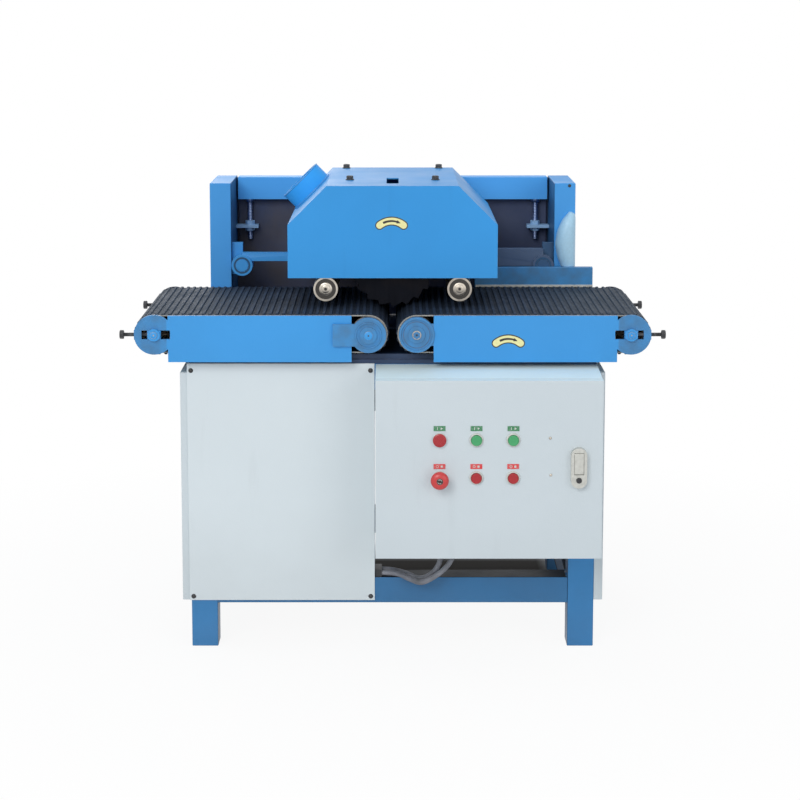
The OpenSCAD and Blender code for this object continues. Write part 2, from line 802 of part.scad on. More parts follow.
// Lugs on the posts with the fixed nuts of the lift screws
module lift_lugs() {
    color(blue) both_sides() difference() {
        union() {
            box(screw_x - 22, post_x, screw_y - 20, screw_y + 12, lug_z, lug_z + lug_t);
            translate([screw_x, screw_y, lug_z - nut_low])
                cylinder(r = nut_r, h = nut_low + lug_t + nut_top, $fn = 6);
        }
        translate([screw_x, screw_y, lug_z - nut_low - 1])
            cylinder(r = screw_r + run_fit, h = nut_low + lug_t + nut_top + 2);
    }
}

module arm_brackets() {
    color(blue) both_sides() {
        box(pivot_x, post_x, bracket_y1, bracket_y2, pivot_z - boss_r, pivot_z + 53);
        bar_y(boss_r, bracket_y1, bracket_y2, pivot_x, pivot_z);
        bar_y(pivot_r, arm_y - 1, bracket_y1 + 1, pivot_x, pivot_z);
    }
}

// Pale moulded cover in front of the right post: a flat-bottomed egg outline
module post_cover() {
    half = post_w / 2 - 1;
    steps = 16;
    color([0.76, 0.85, 0.93]) profile_y(post_y1 - 26, post_y1)
        translate([post_x + post_w / 2 + 1.5, fence_top])
        polygon([for (s = [1, -1], i = [0:steps]) let (t = s > 0 ? i / steps : 1 - i / steps)
            [s * half * sqrt(max(0, 1 - pow(abs(t - 0.4) / 0.6, 2.4))), t * cover_h]]);
}

module outfeed_fence() {
    color(blue) box(fence_x1, fence_x2, back_plate_y, arm_y - 1, plate_top, fence_top);
}

module head_beam() {
    wall = 5;
    color(blue) difference() {
        box(-beam_end, beam_end, beam_y1, post_y2, beam_z, post_top);
        box(-beam_end - 1, beam_end + 1, beam_y1 + wall, post_y2 - wall, beam_z + wall, post_top - wall);
        for (x = [-screw_x, screw_x])
            translate([x, screw_y, beam_z - 1]) cylinder(r = screw_r - 2 + run_fit, h = wall + 2);
    }
}

// Plate that carries the saw arbor and the motor, with guide shoes that run on the posts
module head_plate() {
    z1 = deck_top + head_clear;
    color(dark) difference() {
        union() {
            box(-beam_end, beam_end, head_y1, head_y2, z1, beam_z);
            both_sides() box(beam_end - 1, post_x - slide_fit, head_y1, head_y2, z1 + 20, z1 + 160);
        }
        bar_y(motor_shaft_r + 20, head_y1 - 1, head_y2 + 1, 0, arbor_z);
    }
}

// Lift screw with the thrust collar that carries the beam
module lift_screw(x) {
    color(steel) translate([x, screw_y, 0]) {
        translate([0, 0, screw_bottom]) cylinder(r = screw_r, h = beam_z - screw_bottom);
        translate([0, 0, beam_z - 8]) cylinder(r = screw_r + 4, h = 8);
        translate([0, 0, beam_z]) cylinder(r = screw_r - 2, h = 10);
    }
}

module left_lift_screw() { lift_screw(-screw_x); }
module right_lift_screw() { lift_screw(screw_x); }

// Outline of the hood, drawn in by a wall and run down past its open underside
function hood_outline(inset, below) = let (
    h = hood_w / 2 - inset, t = hood_top - inset, c = hood_chamfer - inset * (2 - sqrt(2)))
    [[-h, hood_z - below], [-h, t - c], [-h + c, t], [h - c, t], [h, t - c], [h, hood_z - below]];

hood_bolt_r = 4;
hood_bolts_at = [for (x = [-100, 100]) each [[x, hood_y1 + 150], [1.15 * x, hood_y2 - 20]]];
port_y = hood_y1 + 320;

// Turns what is drawn upright on the middle of the left chamfer square to it
module on_chamfer() {
    translate([-(hood_w - hood_chamfer) / 2, port_y, hood_top - hood_chamfer / 2])
        rotate([0, -45, 0]) children();
}

module hood() {
    arm_slot_y = arm_y - 10;
    color(blue) {
        difference() {
            profile_y(hood_y1, hood_y2) polygon(hood_outline(0, 0));
            profile_y(hood_y1 + hood_t, hood_y2 - hood_t) polygon(hood_outline(hood_t, 1));
            both_sides() box(hood_w / 2 - hood_t - 1, hood_w / 2 + 1, arm_slot_y,
                arm_slot_y + arm_boss_l + 20, hood_z - 1, pivot_z + 95);
            bar_y(housing_r + 4, hood_y2 - hood_t - 1, hood_y2 + 1, 0, arbor_z);
            box(-housing_r - 4, housing_r + 4, hood_y2 - hood_t - 1, hood_y2 + 1, hood_z - 1, arbor_z);
            box(-14, 14, hood_y1 + 60, hood_y1 + 200, hood_top - hood_t - 1, hood_top + 1);
            on_chamfer() translate([0, 0, -10]) cylinder(r = port_r - hood_t, h = 20);
            for (p = hood_bolts_at)
                translate([p[0], p[1], hood_top - hood_t - 1])
                    cylinder(r = hood_bolt_r + 0.1, h = hood_t + 2);
        }
        for (x = [-120, 120]) box(x - 20, x + 20, hood_y2 - 1, beam_y1, beam_z + 4, post_top - 10);
    }
}

module hood_bolts() {
    color(black) for (p = hood_bolts_at) translate([p[0], p[1], hood_top - hood_t]) {
        cylinder(r = hood_bolt_r, h = hood_t);
        translate([0, 0, hood_t]) cylinder(r = 10, h = 2);
        translate([0, 0, hood_t + 2]) cylinder(r = 8, h = 8, $fn = 6);
    }
}

module dust_port() {
    color(blue) on_chamfer() difference() {
        cylinder(r = port_r, h = port_l);
        translate([0, 0, -1]) cylinder(r = port_r - hood_t, h = port_l + 2);
    }
}

module arbor_housing() {
    color(dark) difference() {
        union() {
            bar_y(housing_r, housing_y1, head_y1, 0, arbor_z);
            bar_y(housing_r + 22, head_y1 - 14, head_y1, 0, arbor_z);
        }
        bar_y(arbor_r + run_fit, housing_y1 - 1, head_y1 + 1, 0, arbor_z);
    }
}

module arbor() {
    color(steel) {
        bar_y(arbor_r, blade_y - 40, head_y1, 0, arbor_z);
        bar_y(motor_shaft_r, head_y1, head_y2 + motor_shaft_l, 0, arbor_z);
        translate([0, blade_y - 34, arbor_z]) rotate([-90, 0, 0]) cylinder(r = spacer_r, h = 22, $fn = 6);
        bar_y(spacer_r, blade_y - 12, blade_y, 0, arbor_z);
        bar_y(spacer_r, blade_end, blade_end + 12, 0, arbor_z);
        for (i = [0:blade_count - 2])
            bar_y(spacer_r, blade_y + i * blade_step + blade_t, blade_y + (i + 1) * blade_step, 0, arbor_z);
    }
}

module saw_blades() {
    step = 360 / blade_teeth;
    color(zinc) for (i = [0:blade_count - 1]) difference() {
        profile_y(blade_y + i * blade_step, blade_y + i * blade_step + blade_t) translate([0, arbor_z])
            polygon([for (k = [0:blade_teeth - 1],
                q = [[0, blade_r], [0.25, blade_r - 3], [0.8, blade_r - 9]])
                q[1] * [cos((k + q[0]) * step), sin((k + q[0]) * step)]]);
        bar_y(arbor_r, blade_y + i * blade_step - 1, blade_y + i * blade_step + blade_t + 1, 0, arbor_z);
    }
}

module main_motor() {
    fins = 24;
    fin_h = 8;
    y2 = head_y2 + motor_l;
    color(dark) difference() {
        union() {
            bar_y(motor_r + 4, head_y2, head_y2 + 16, 0, arbor_z);
            bar_y(motor_r - fin_h, head_y2 + 16, y2 - 50, 0, arbor_z);
            bar_y(motor_r, y2 - 50, y2, 0, arbor_z);
            for (i = [0:fins - 1]) translate([0, head_y2 + 16, arbor_z]) rotate([0, i * 360 / fins, 0])
                translate([-2, 0, motor_r - fin_h - 3]) cube([4, motor_l - 66, fin_h]);
            box(-55, 55, head_y2 + 70, head_y2 + 170, arbor_z + motor_r - 20, arbor_z + motor_r + 34);
        }
        bar_y(motor_shaft_r + run_fit, head_y2 - 1, head_y2 + motor_shaft_l + 2, 0, arbor_z);
    }
}

// Press arm on the right: boss on the pivot, bar to the roller and the roller's axle
module press_arm(low, high) {
    color(blue) difference() {
        union() {
            bar_y(boss_r, arm_y, arm_y + arm_boss_l, pivot_x, pivot_z);
            box(press_x - 15, pivot_x, bar_y1, bar_y2, pivot_z + low, pivot_z + high);
            box(press_x - 15, press_x + 15, bar_y1, bar_y2, press_z - 15, pivot_z + low + 1);
            bar_y(axle_r, press_y1 - 1, bar_y1 + 1, press_x, press_z);
        }
        bar_y(pivot_r + run_fit, arm_y - 1, arm_y + arm_boss_l + 1, pivot_x, pivot_z);
    }
}

module infeed_press_arm() { mirror([1, 0, 0]) press_arm(bar_low[0], bar_high[0]); }
module outfeed_press_arm() { press_arm(bar_low[1], bar_high[1]); }

module press_roller(x) {
    color(steel) difference() {
        bar_y(press_r, press_y1, press_y2, x, press_z);
        bar_y(axle_r + run_fit, press_y1 - 1, press_y2 + 1, x, press_z);
        difference() {
            bar_y(press_r - 6, press_y1 - 1, press_y1 + 6, x, press_z);
            bar_y(axle_r + 3, press_y1 - 2, press_y1 + 7, x, press_z);
        }
    }
}

module infeed_press_roller() { press_roller(-press_x); }
module outfeed_press_roller() { press_roller(press_x); }

legs();
rails();
deck_plate();
left_cover();
side_trays();
cover_screws();
cabinet_body();
cabinet_door();
door_hinges();
contactors();
power_lamp();
start_button_1();
start_button_2();
stop_button_1();
stop_button_2();
emergency_stop();
button_bezels();
contact_blocks();
legend_plates();
lock_body();
lock_lever();
lock_button();
cable_glands();
control_cables();
conveyor_plates();
conveyor_beds();
feed_belts();
tension_bolts();
roller_bearings();
infeed_drive_roller();
infeed_idler_roller();
outfeed_drive_roller();
outfeed_idler_roller();
infeed_take_up();
outfeed_take_up();
feed_motor();
motor_sprocket();
infeed_sprocket();
outfeed_sprocket();
feed_chain();
gantry_posts();
lift_lugs();
arm_brackets();
post_cover();
outfeed_fence();
head_beam();
head_plate();
left_lift_screw();
right_lift_screw();
hood();
hood_bolts();
dust_port();
arbor_housing();
arbor();
saw_blades();
main_motor();
infeed_press_arm();
outfeed_press_arm();
infeed_press_roller();
outfeed_press_roller();
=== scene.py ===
"""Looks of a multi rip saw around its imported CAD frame, as a Blender add-on that is run as a script."""

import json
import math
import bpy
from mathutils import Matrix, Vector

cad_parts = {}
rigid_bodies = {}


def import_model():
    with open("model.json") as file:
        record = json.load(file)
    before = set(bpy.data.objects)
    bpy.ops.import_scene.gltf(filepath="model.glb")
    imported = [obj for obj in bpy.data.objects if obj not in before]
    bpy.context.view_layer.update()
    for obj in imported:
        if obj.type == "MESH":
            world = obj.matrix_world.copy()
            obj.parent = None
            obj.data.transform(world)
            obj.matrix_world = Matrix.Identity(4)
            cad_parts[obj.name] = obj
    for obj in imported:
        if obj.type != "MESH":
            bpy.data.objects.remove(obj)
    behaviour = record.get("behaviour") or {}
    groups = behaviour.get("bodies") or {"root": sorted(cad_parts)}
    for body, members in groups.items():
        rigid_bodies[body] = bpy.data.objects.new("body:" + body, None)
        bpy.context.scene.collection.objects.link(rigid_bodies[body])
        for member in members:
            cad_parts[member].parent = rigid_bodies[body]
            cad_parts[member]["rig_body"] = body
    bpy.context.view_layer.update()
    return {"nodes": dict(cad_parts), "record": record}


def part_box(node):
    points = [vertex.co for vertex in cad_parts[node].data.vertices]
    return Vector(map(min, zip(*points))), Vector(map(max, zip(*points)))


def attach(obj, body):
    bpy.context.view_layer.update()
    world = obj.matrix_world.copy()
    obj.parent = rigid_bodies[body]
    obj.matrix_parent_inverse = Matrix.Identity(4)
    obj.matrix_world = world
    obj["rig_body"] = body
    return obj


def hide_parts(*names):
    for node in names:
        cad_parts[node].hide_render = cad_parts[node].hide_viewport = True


bl_info = {
    "name": "Multi rip saw",
    "version": (1, 0, 0),
    "blender": (4, 5, 0),
    "location": "View3D > Sidebar > Rip saw",
    "description": "Paint, fasteners, threads, cables and stage of a multi rip saw",
    "category": "Object",
}

import bmesh
import bpy
import numpy as np
from bpy.props import FloatProperty, FloatVectorProperty, IntProperty, PointerProperty
from mathutils import Vector

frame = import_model()
NODES = frame["nodes"]
TURN = 2 * math.pi
X_AXIS, Y_AXIS, Z_AXIS = np.eye(3)
FRONT = -Y_AXIS
FEEDS = ((-1, "infeed"), (1, "outfeed"))
MERGE = 1e-6
FLAT_ANGLE = math.radians(0.4)


def low(node):
    """Lowest corner of a CAD node as an array."""
    return np.array(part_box(node)[0])


def high(node):
    """Highest corner of a CAD node as an array."""
    return np.array(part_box(node)[1])


def middle(node):
    """Centre of a CAD node's box."""
    return (low(node) + high(node)) / 2


def colour_prop(label, text, value):
    """Colour property in linear light."""
    return FloatVectorProperty(
        name=label, description=text, subtype="COLOR", size=3, min=0.0, max=1.0, default=value
    )


def length_prop(label, text, value):
    """Length property in metres."""
    return FloatProperty(
        name=label, description=text, unit="LENGTH", subtype="DISTANCE", min=0.0, precision=4, default=value
    )


class RipSawFinish(bpy.types.PropertyGroup):
    """Colours of the saw's finishes."""

    blue: colour_prop("Blue enamel", "Enamel of the frame, hood and conveyors", (0.036, 0.295, 0.680))
    # Painted highlight: a paler blue for the lift lugs, standing in for the light on their tops
    lug: colour_prop("Lug enamel", "Paler enamel of the lift lugs", (0.34, 0.56, 0.82))
    # Painted light: a lighter copy of the blue for the posts and the beam, standing in for light on them
    gantry: colour_prop("Gantry enamel", "Fresher enamel of the posts and the beam", (0.080, 0.345, 0.745))
    # Painted shade: a darker copy of the blue for the lower rails, standing in for the shade under the
    # cabinet
    rail: colour_prop("Rail enamel", "Duller enamel of the lower rails", (0.027, 0.218, 0.500))
    white: colour_prop("White powder coat", "Coat of the left cover", (0.66, 0.715, 0.735))
    case: colour_prop("Cabinet coat", "Coat of the cabinet and side trays", (0.59, 0.645, 0.67))
    # Painted highlight: a near-white pale cyan for the cabinet's level faces, standing in for reflected
    # light on its top
    case_top: colour_prop("Cabinet top", "Paler upper faces of the cabinet", (0.86, 1.0, 1.0))
    # Painted shade: the deck's dark colour stands in for the shade between and under the conveyors
    deck: colour_prop("Deck coat", "Oil-dark enamel of the deck plate", (0.016, 0.04, 0.10))
    # Painted shade: a dark blue copy for the outfeed press arm, standing in for the shade it lies in
    oily: colour_prop("Oily enamel", "Blue coat darkened by oil and dust", (0.05, 0.09, 0.17))
    belt: colour_prop("Belt rubber", "Rubber of the feed belts", (0.007, 0.015, 0.031))
    # Dust with a painted bluish sheen on the feed belts' ends
    belt_dust: colour_prop("Belt dust", "Dusty ends of the feed belts", (0.034, 0.050, 0.072))
    belt_edge: colour_prop("Belt edge", "Cut fabric edge of the feed belts", (0.42, 0.40, 0.36))
    steel: colour_prop("Turned steel", "Rollers, shafts and caps", (0.50, 0.46, 0.40))
    lift: colour_prop("Lift screw steel", "Blued lift screws", (0.28, 0.36, 0.56))
    # Painted shade: near-black saw blades, standing in for the shade under the hood
    blade: colour_prop("Blade steel", "Smoke-dark saw blades", (0.010, 0.011, 0.015))
    zinc: colour_prop("Die-cast zinc", "Lock and hinges", (0.56, 0.56, 0.52))
    iron: colour_prop("Motor enamel", "Motors and arbor housing", (0.045, 0.052, 0.06))
    plate: colour_prop("Dark plate", "Head plate, chain and sprockets", (0.045, 0.062, 0.125))
    oxide: colour_prop("Black oxide", "Screws and bolts", (0.022, 0.023, 0.026))
    red: colour_prop("Red caps", "Lamp and stop buttons", (0.38, 0.012, 0.017))
    stop_red: colour_prop("Mushroom red", "Emergency stop", (0.56, 0.035, 0.035))
    green: colour_prop("Green caps", "Start buttons", (0.045, 0.34, 0.12))
    cable: colour_prop("Cable sheath", "Control cables", (0.17, 0.17, 0.19))
    pale: colour_prop("Pale cover", "Moulded cover on the right post", (0.42, 0.66, 0.82))
    label: colour_prop("Label yellow", "Arc labels", (0.83, 0.77, 0.36))


class RipSawDetail(bpy.types.PropertyGroup):
    """Sizes of the details that the looks add."""

    fold: length_prop("Fold radius", "Radius of folded sheet edges", 0.0016)
    weld: length_prop("Weld bead", "Radius of a weld bead", 0.0032)
    screw_pitch: length_prop("Lift thread", "Pitch of the lift screws", 0.004)
    bolt_pitch: length_prop("Bolt thread", "Pitch of the tension bolts", 0.0015)
    label_width: length_prop("Label width", "Width of an arc label", 0.070)
    sides: IntProperty(name="Round sides", description="Sides of a turned cap", min=24, max=128, default=56)


# Surfaces and meshes


def mm(*rows):
    """Profile in millimetres as radius and height in metres."""
    return np.array(rows, float) / 1000


def ray(a):
    """Unit vectors at angles."""
    return np.stack([np.cos(a), np.sin(a)], -1)


def ring(radius, sides):
    """Round section of a tube."""
    return radius * ray(np.linspace(0, TURN, sides, endpoint=False))


def closed(section):
    """Section with its first point again at the end."""
    return np.vstack([section, section[:1]])


def band(inner, outer, rise):
    """Closed profile of a flat ring, in millimetres."""
    return closed(mm((inner, 0), (outer, 0), (outer, rise), (inner, rise)))


def rounded(w, h, r, steps=5):
    """Outline of a rectangle with round corners, centred on its origin."""
    a = np.linspace(0, TURN / 4, steps) + np.arange(4)[:, None] * TURN / 4
    mid = np.array([[1, 1], [-1, 1], [-1, -1], [1, -1]]) * [w / 2 - r, h / 2 - r]
    return (mid[:, None] + ray(a) * r).reshape(-1, 2)


def arc_ribbon(angles, radius, half):
    """Outline of a flat arc with its own half width at each angle."""
    way = ray(angles)
    return np.vstack([way * (radius + half)[:, None], (way * (radius - half)[:, None])[::-1]])


def grid_faces(rows, cols, loop=False):
    """Quads between the points of a grid whose rows run round; in a loop the last row meets the first."""
    i = np.arange(rows if loop else rows - 1)[:, None]
    j = np.arange(cols)[None, :]
    i2, j2 = (i + 1) % rows, (j + 1) % cols
    quad = [i * cols + j, i2 * cols + j, i2 * cols + j2, i * cols + j2]
    return np.stack(np.broadcast_arrays(*quad), -1).reshape(-1, 4).tolist()


def tube(points, loop=False):
    """Surface over rows of points that run round; a face shuts each end unless it is a loop."""
    rows, cols = points.shape[:2]
    faces = grid_faces(rows, cols, loop)
    if not loop:
        faces += [list(range(cols)), [(rows - 1) * cols + k for k in reversed(range(cols))]]
    return points.reshape(-1, 3), faces


def basis(axis):
    """Two unit vectors square to an axis and to each other, and the axis itself."""
    w = np.asarray(axis, float) / np.linalg.norm(axis)
    u = np.cross(w, Z_AXIS if abs(w[2]) < 0.9 else X_AXIS)
    u /= np.linalg.norm(u)
    return u, np.cross(w, u), w


def turned(profile, centre, axis, sides, radius_of=None):
    """Turned surface: each profile point is a radius and a height along the axis, carried round the axis.
    radius_of, where given, changes the radius by angle and height, as for a hexagon or a thread."""
    prof = np.asarray(profile, float)
    a = np.linspace(0, TURN, sides, endpoint=False)[None, :]
    r, h = (np.repeat(prof[:, k : k + 1], sides, 1) for k in (0, 1))
    if radius_of is not None:
        r = radius_of(a, r, h)
    u, v, w = basis(axis)
    way = np.cos(a)[..., None] * u + np.sin(a)[..., None] * v
    points = np.asarray(centre) + r[..., None] * way + h[..., None] * w
    return points.reshape(-1, 3), grid_faces(len(prof), sides)


def hexagon(flat):
    """Radius rule of a hexagon over its flats, cut by the turned profile."""
    step = TURN / 6
    return lambda a, r, h: np.minimum(r, flat / 2 / np.cos((a + step / 2) % step - step / 2))


def thread(pitch, depth):
    """Radius rule of a screw thread: the groove moves one pitch along for each turn."""
    return lambda a, r, h: r - depth * np.abs(((h / pitch - a / TURN) % 1) * 2 - 1) * (r > depth)


def carried(path, section, up, loop=False):
    """A section of side and up offsets carried along a path; side is square to the path and to up."""
    p = np.asarray(path, float)
    ahead = np.roll(p, -1, 0) - np.roll(p, 1, 0)
    if not loop:
        ahead[0], ahead[-1] = p[1] - p[0], p[-1] - p[-2]
    ahead /= np.linalg.norm(ahead, axis=1)[:, None]
    side = np.cross(ahead, up)
    side /= np.linalg.norm(side, axis=1)[:, None]
    rise = np.cross(side, ahead)
    s = np.asarray(section, float)
    if s.ndim == 2:
        s = np.repeat(s[None], len(p), 0)
    return tube(p[:, None] + s[..., :1] * side[:, None] + s[..., 1:] * rise[:, None], loop)


def slab(outline, origin, across, up, depth):
    """Flat plate: an outline in two directions, drawn out by a depth along their common normal."""
    o = np.asarray(outline, float)
    n = len(o)
    face = np.asarray(origin) + o[:, :1] * across + o[:, 1:] * up
    points = np.concatenate([face, face + depth * np.cross(across, up)])
    sides = [[k, (k + 1) % n, (k + 1) % n + n, k + n] for k in range(n)]
    return points, [list(range(n))[::-1], list(range(n, 2 * n))] + sides


def decal(outline, origin, depth):
    """Thin plate that stands out to the front."""
    return slab(outline, origin, X_AXIS, Z_AXIS, depth)


def block(lo, hi):
    """Box between two corners."""
    lo, hi = np.asarray(lo, float), np.asarray(hi, float)
    w, d, h = hi - lo
    return decal([[0, 0], [w, 0], [w, h], [0, h]], [lo[0], hi[1], lo[2]], d)


def reworked(mesh, flat):
    """Merges a mesh's double points; then joins triangles of one plane, or turns its faces outwards."""
    bm = bmesh.new()
    bm.from_mesh(mesh)
    bmesh.ops.remove_doubles(bm, verts=bm.verts, dist=MERGE)
    if flat:
        bmesh.ops.dissolve_limit(bm, angle_limit=FLAT_ANGLE, verts=bm.verts, edges=bm.edges)
    else:
        bmesh.ops.dissolve_degenerate(bm, edges=bm.edges, dist=MERGE / 10)
        bmesh.ops.recalc_face_normals(bm, faces=bm.faces)
    bm.to_mesh(mesh)
    bm.free()


def piece(name, parts, key, body, node=None, slot=None, ease=0.0, angle=40):
    """A finished piece: parts are pairs of points and faces, key its finish and node what it replaces."""
    points, faces = [], []
    for part_points, part_faces in parts:
        start = len(points)
        points += part_points.tolist()
        faces += [[k + start for k in face] for face in part_faces]
    mesh = bpy.data.meshes.new(name)
    mesh.from_pydata(points, [], faces)
    reworked(mesh, flat=False)
    return placed(name, mesh, key, body, node, ease, angle)


def lathed(name, profile, spots, axis, sides, key, body, rule=None, **more):
    """A piece of one turned profile at each of several spots."""
    return piece(name, [turned(profile, s, axis, sides, rule) for s in spots], key, body, **more)


def eased_copy(node, ease):
    """A CAD node with eased edges: its triangles merge, flat ones join, and a Bevel rounds what is left."""
    mesh = NODES[node].data.copy()
    reworked(mesh, flat=True)
    body = NODES[node]["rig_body"]
    placed(node + "_eased", mesh, key_of(node), body, node, ease, 30)


def placed(name, mesh, key, body, node, ease, angle):
    """Puts a mesh into the scene with its finish and its eased edges, on its body and for its CAD node."""
    mesh.materials.clear()
    mesh.materials.append(finish(key))
    mesh.shade_smooth()
    mesh.set_sharp_from_angle(angle=math.radians(angle))
    obj = bpy.data.objects.new(name, mesh)
    bpy.context.scene.collection.objects.link(obj)
    if ease > 0:
        bevel = obj.modifiers.new("eased", "BEVEL")
        bevel.width, bevel.segments = ease, 2
        bevel.limit_method, bevel.angle_limit = "ANGLE", math.radians(angle)
        bevel.harden_normals = True
    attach(obj, body)
    if node:
        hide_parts(node)
    return obj


# Finishes


def feed(tree, socket, value):
    """Gives a socket a value or a link from another socket."""
    if isinstance(value, bpy.types.NodeSocket):
        tree.links.new(value, socket)
    else:
        socket.default_value = value


def add(tree, kind, inputs=(), **settings):
    """A shader node with its settings; an input takes a value or another node's socket."""
    made = tree.nodes.new("ShaderNode" + kind)
    for key, value in settings.items():
        setattr(made, key, value)
    for key, value in dict(inputs).items():
        feed(tree, made.inputs[key], value)
    return made


def rgb(colour, gain=1.0):
    """Colour socket value, made lighter or darker."""
    return tuple(min(1.0, c * gain) for c in colour[:3]) + (1.0,)


def tint(colour):
    """A colour as given, or by the name of its property."""
    return getattr(bpy.context.scene.rip_saw_finish, colour) if isinstance(colour, str) else colour


class Finish:
    """One procedural material on Object coordinates and the nodes that it is made of."""

    def __init__(self, name):
        self.material = bpy.data.materials.new(name)
        self.material.use_nodes = True
        self.tree = self.material.node_tree
        self.shader = self.tree.nodes["Principled BSDF"]
        self.place = add(self.tree, "TexCoord").outputs["Object"]
        self.axes = add(self.tree, "SeparateXYZ", {0: self.place}).outputs

    def noise(self, scale, detail=3.0, stretch=None):
        """Noise by position, drawn out where stretch is below 1."""
        at = self.place
        if stretch:
            at = add(self.tree, "Mapping", {"Vector": at, "Scale": stretch}).outputs[0]
        return add(self.tree, "TexNoise", {"Vector": at, "Scale": scale, "Detail": detail}).outputs[0]

    def ramp(self, value, start, end, to_min=0.0, to_max=1.0):
        """Straight ramp of a value, held at its ends."""
        made = add(self.tree, "MapRange", {0: value, 1: start, 2: end, 3: to_min, 4: to_max}, clamp=True)
        return made.outputs[0]

    def mottle(self, scale, detail, start, end, to_min=0.0, to_max=1.0):
        """Ramp of a noise."""
        return self.ramp(self.noise(scale, detail), start, end, to_min, to_max)

    def calc(self, operation, a, b=0.0):
        """One sum on two values."""
        return add(self.tree, "Math", {0: a, 1: b}, operation=operation).outputs[0]

    def times(self, a, b):
        """Product of two values."""
        return self.calc("MULTIPLY", a, b)

    def size(self, value):
        """Value without its sign."""
        return self.calc("ABSOLUTE", value)

    def blend(self, share, a, b):
        """Colour between two colours or sockets."""
        return add(self.tree, "Mix", {0: share, 6: a, 7: b}, data_type="RGBA").outputs[2]

    def normal(self):
        """The surface's own normal."""
        return add(self.tree, "NewGeometry").outputs["Normal"]

    def lean(self, axis):
        """The normal's share along an axis."""
        return add(self.tree, "SeparateXYZ", {0: self.normal()}).outputs[axis]

    def level(self):
        """1 where a surface lies level, either way up."""
        return self.ramp(self.size(self.lean(2)), 0.8, 0.95)

    def edges(self, radius):
        """1 along convex and concave edges and 0 on flats, from the rounded normal."""
        soft = add(self.tree, "Bevel", {"Radius": radius}, samples=4).outputs[0]
        both = {0: soft, 1: self.normal()}
        dot = add(self.tree, "VectorMath", both, operation="DOT_PRODUCT").outputs["Value"]
        return self.ramp(dot, 0.985, 0.90)

    def set(self, **values):
        """Sets the shader's sockets; underscores stand for spaces."""
        for key, value in values.items():
            feed(self.tree, self.shader.inputs[key.replace("_", " ")], value)

    def bump(self, height, distance, strength):
        """Bump from a height."""
        made = add(self.tree, "Bump", {"Height": height, "Distance": distance, "Strength": strength})
        self.set(Normal=made.outputs[0])

    def done(self, base, rough, grain, **values):
        """The material with its colour. rough is the scale, detail, least and most of the roughness, and
        grain the scale, detail, height and strength of the bump."""
        self.set(Base_Color=base, Roughness=self.mottle(*rough[:2], 0.3, 0.7, *rough[2:]), **values)
        self.bump(self.noise(*grain[:2]), *grain[2:])
        return self.material


# Dark blue laid on the coat as painted shade by the oil functions
PAINTED_SHADE = (0.014, 0.024, 0.05, 1)
# Near-black painted shadow for level faces near the floor
LOW_LEVEL_SHADE = (0.011, 0.010, 0.010, 1)
FLOOR_DUST = (0.20, 0.17, 0.13, 1)
# Grey-blue of grease on the roller bearings, also laid as painted shade on the outfeed fence
GREASE_AND_SHADE = (0.055, 0.14, 0.25, 1)
HANDLING_STAIN = (0.16, 0.11, 0.07, 1)
PLATE_DUST = (0.075, 0.06, 0.055, 1)
BARE_EDGE = (0.22, 0.22, 0.24, 1)
RUBBED_PRINT = (0.5, 0.5, 0.5, 1)


def enamel(name, colour, rough=0.40, tone=0.05, soil=0.3, scuff=0.35, peel=0.35, grime_and_shade_from=None, low=0.0,
           top=None, oil=None, shine=0.5, gain=1.0):
    """Sprayed coat: broad tone changes, orange peel, rubbed edges, thin scuffs and dust towards the floor.
    grime_and_shade_from, where given, is the distance from the middle beyond which the coat turns a mottled
    grey-blue, as grease on the roller bearings and as painted shade on the outfeed fence. low is the share
    of painted shade near the floor, deepest at the rear, with a near-black painted shadow on level faces
    there, and top the colour of a painted highlight on level faces. oil, where given, gets the finish and
    returns the share of painted shade by place."""
    f = Finish(name)
    f.set(Specular_IOR_Level=shine)
    colour = [gain * v for v in colour]
    base = f.blend(f.mottle(2.4, 4, 0.35, 0.65), rgb(colour, 1 - tone), rgb(colour, 1 + tone))
    streak = f.ramp(f.noise(26, 5, (1.0, 1.0, 0.12)), 0.62, 0.74, 0.0, 0.10)
    base = f.blend(streak, base, rgb(colour, 0.6))
    rubbed = f.times(f.edges(0.0022), f.mottle(55, 3, 0.45, 0.62, 0.0, scuff))
    base = f.blend(rubbed, base, rgb([0.35 + 0.65 * c for c in colour], 0.9))
    near_floor = f.ramp(f.axes[2], 0.35, 0.0, 0.0, soil)
    base = f.blend(f.times(near_floor, f.noise(7, 5)), base, FLOOR_DUST)
    # Painted shade near the floor, deepest at the rear, and a near-black painted shadow on level faces low
    # down
    if low:
        depth = f.times(f.ramp(f.axes[2], 0.34, 0.16), f.ramp(f.axes[1], -0.2, 0.1, low, 1.0))
        base = f.blend(f.times(depth, f.mottle(9, 4, 0.3, 0.6, 0.8, 1.0)), base, rgb(colour, 0.3))
        level = f.times(f.level(), f.ramp(f.axes[2], 0.34, 0.20, 0.0, 0.95))
        base = f.blend(level, base, LOW_LEVEL_SHADE)
        f.set(Specular_IOR_Level=f.ramp(level, 0.0, 1.0, 0.5, 0.02))
    # Painted highlight: level faces, either way up, take the top colour
    if top:
        base = f.blend(f.level(), base, rgb(tint(top)))
    # Beyond a distance from the middle the coat turns a mottled grey-blue: grease on the roller bearings,
    # painted shade on the outfeed fence
    if grime_and_shade_from is not None:
        out = f.ramp(f.size(f.axes[0]), grime_and_shade_from, grime_and_shade_from + 0.004)
        base = f.blend(f.times(out, f.mottle(38, 4, 0.3, 0.7, 0.35, 0.75)), base, GREASE_AND_SHADE)
    # Painted shade by place: the coat turns dark blue where oil says
    if oil:
        base = f.blend(oil(f), base, PAINTED_SHADE)
    return f.done(base, (11, 4, rough - 0.05, rough + 0.07), (420, 2, 0.0004, peel))


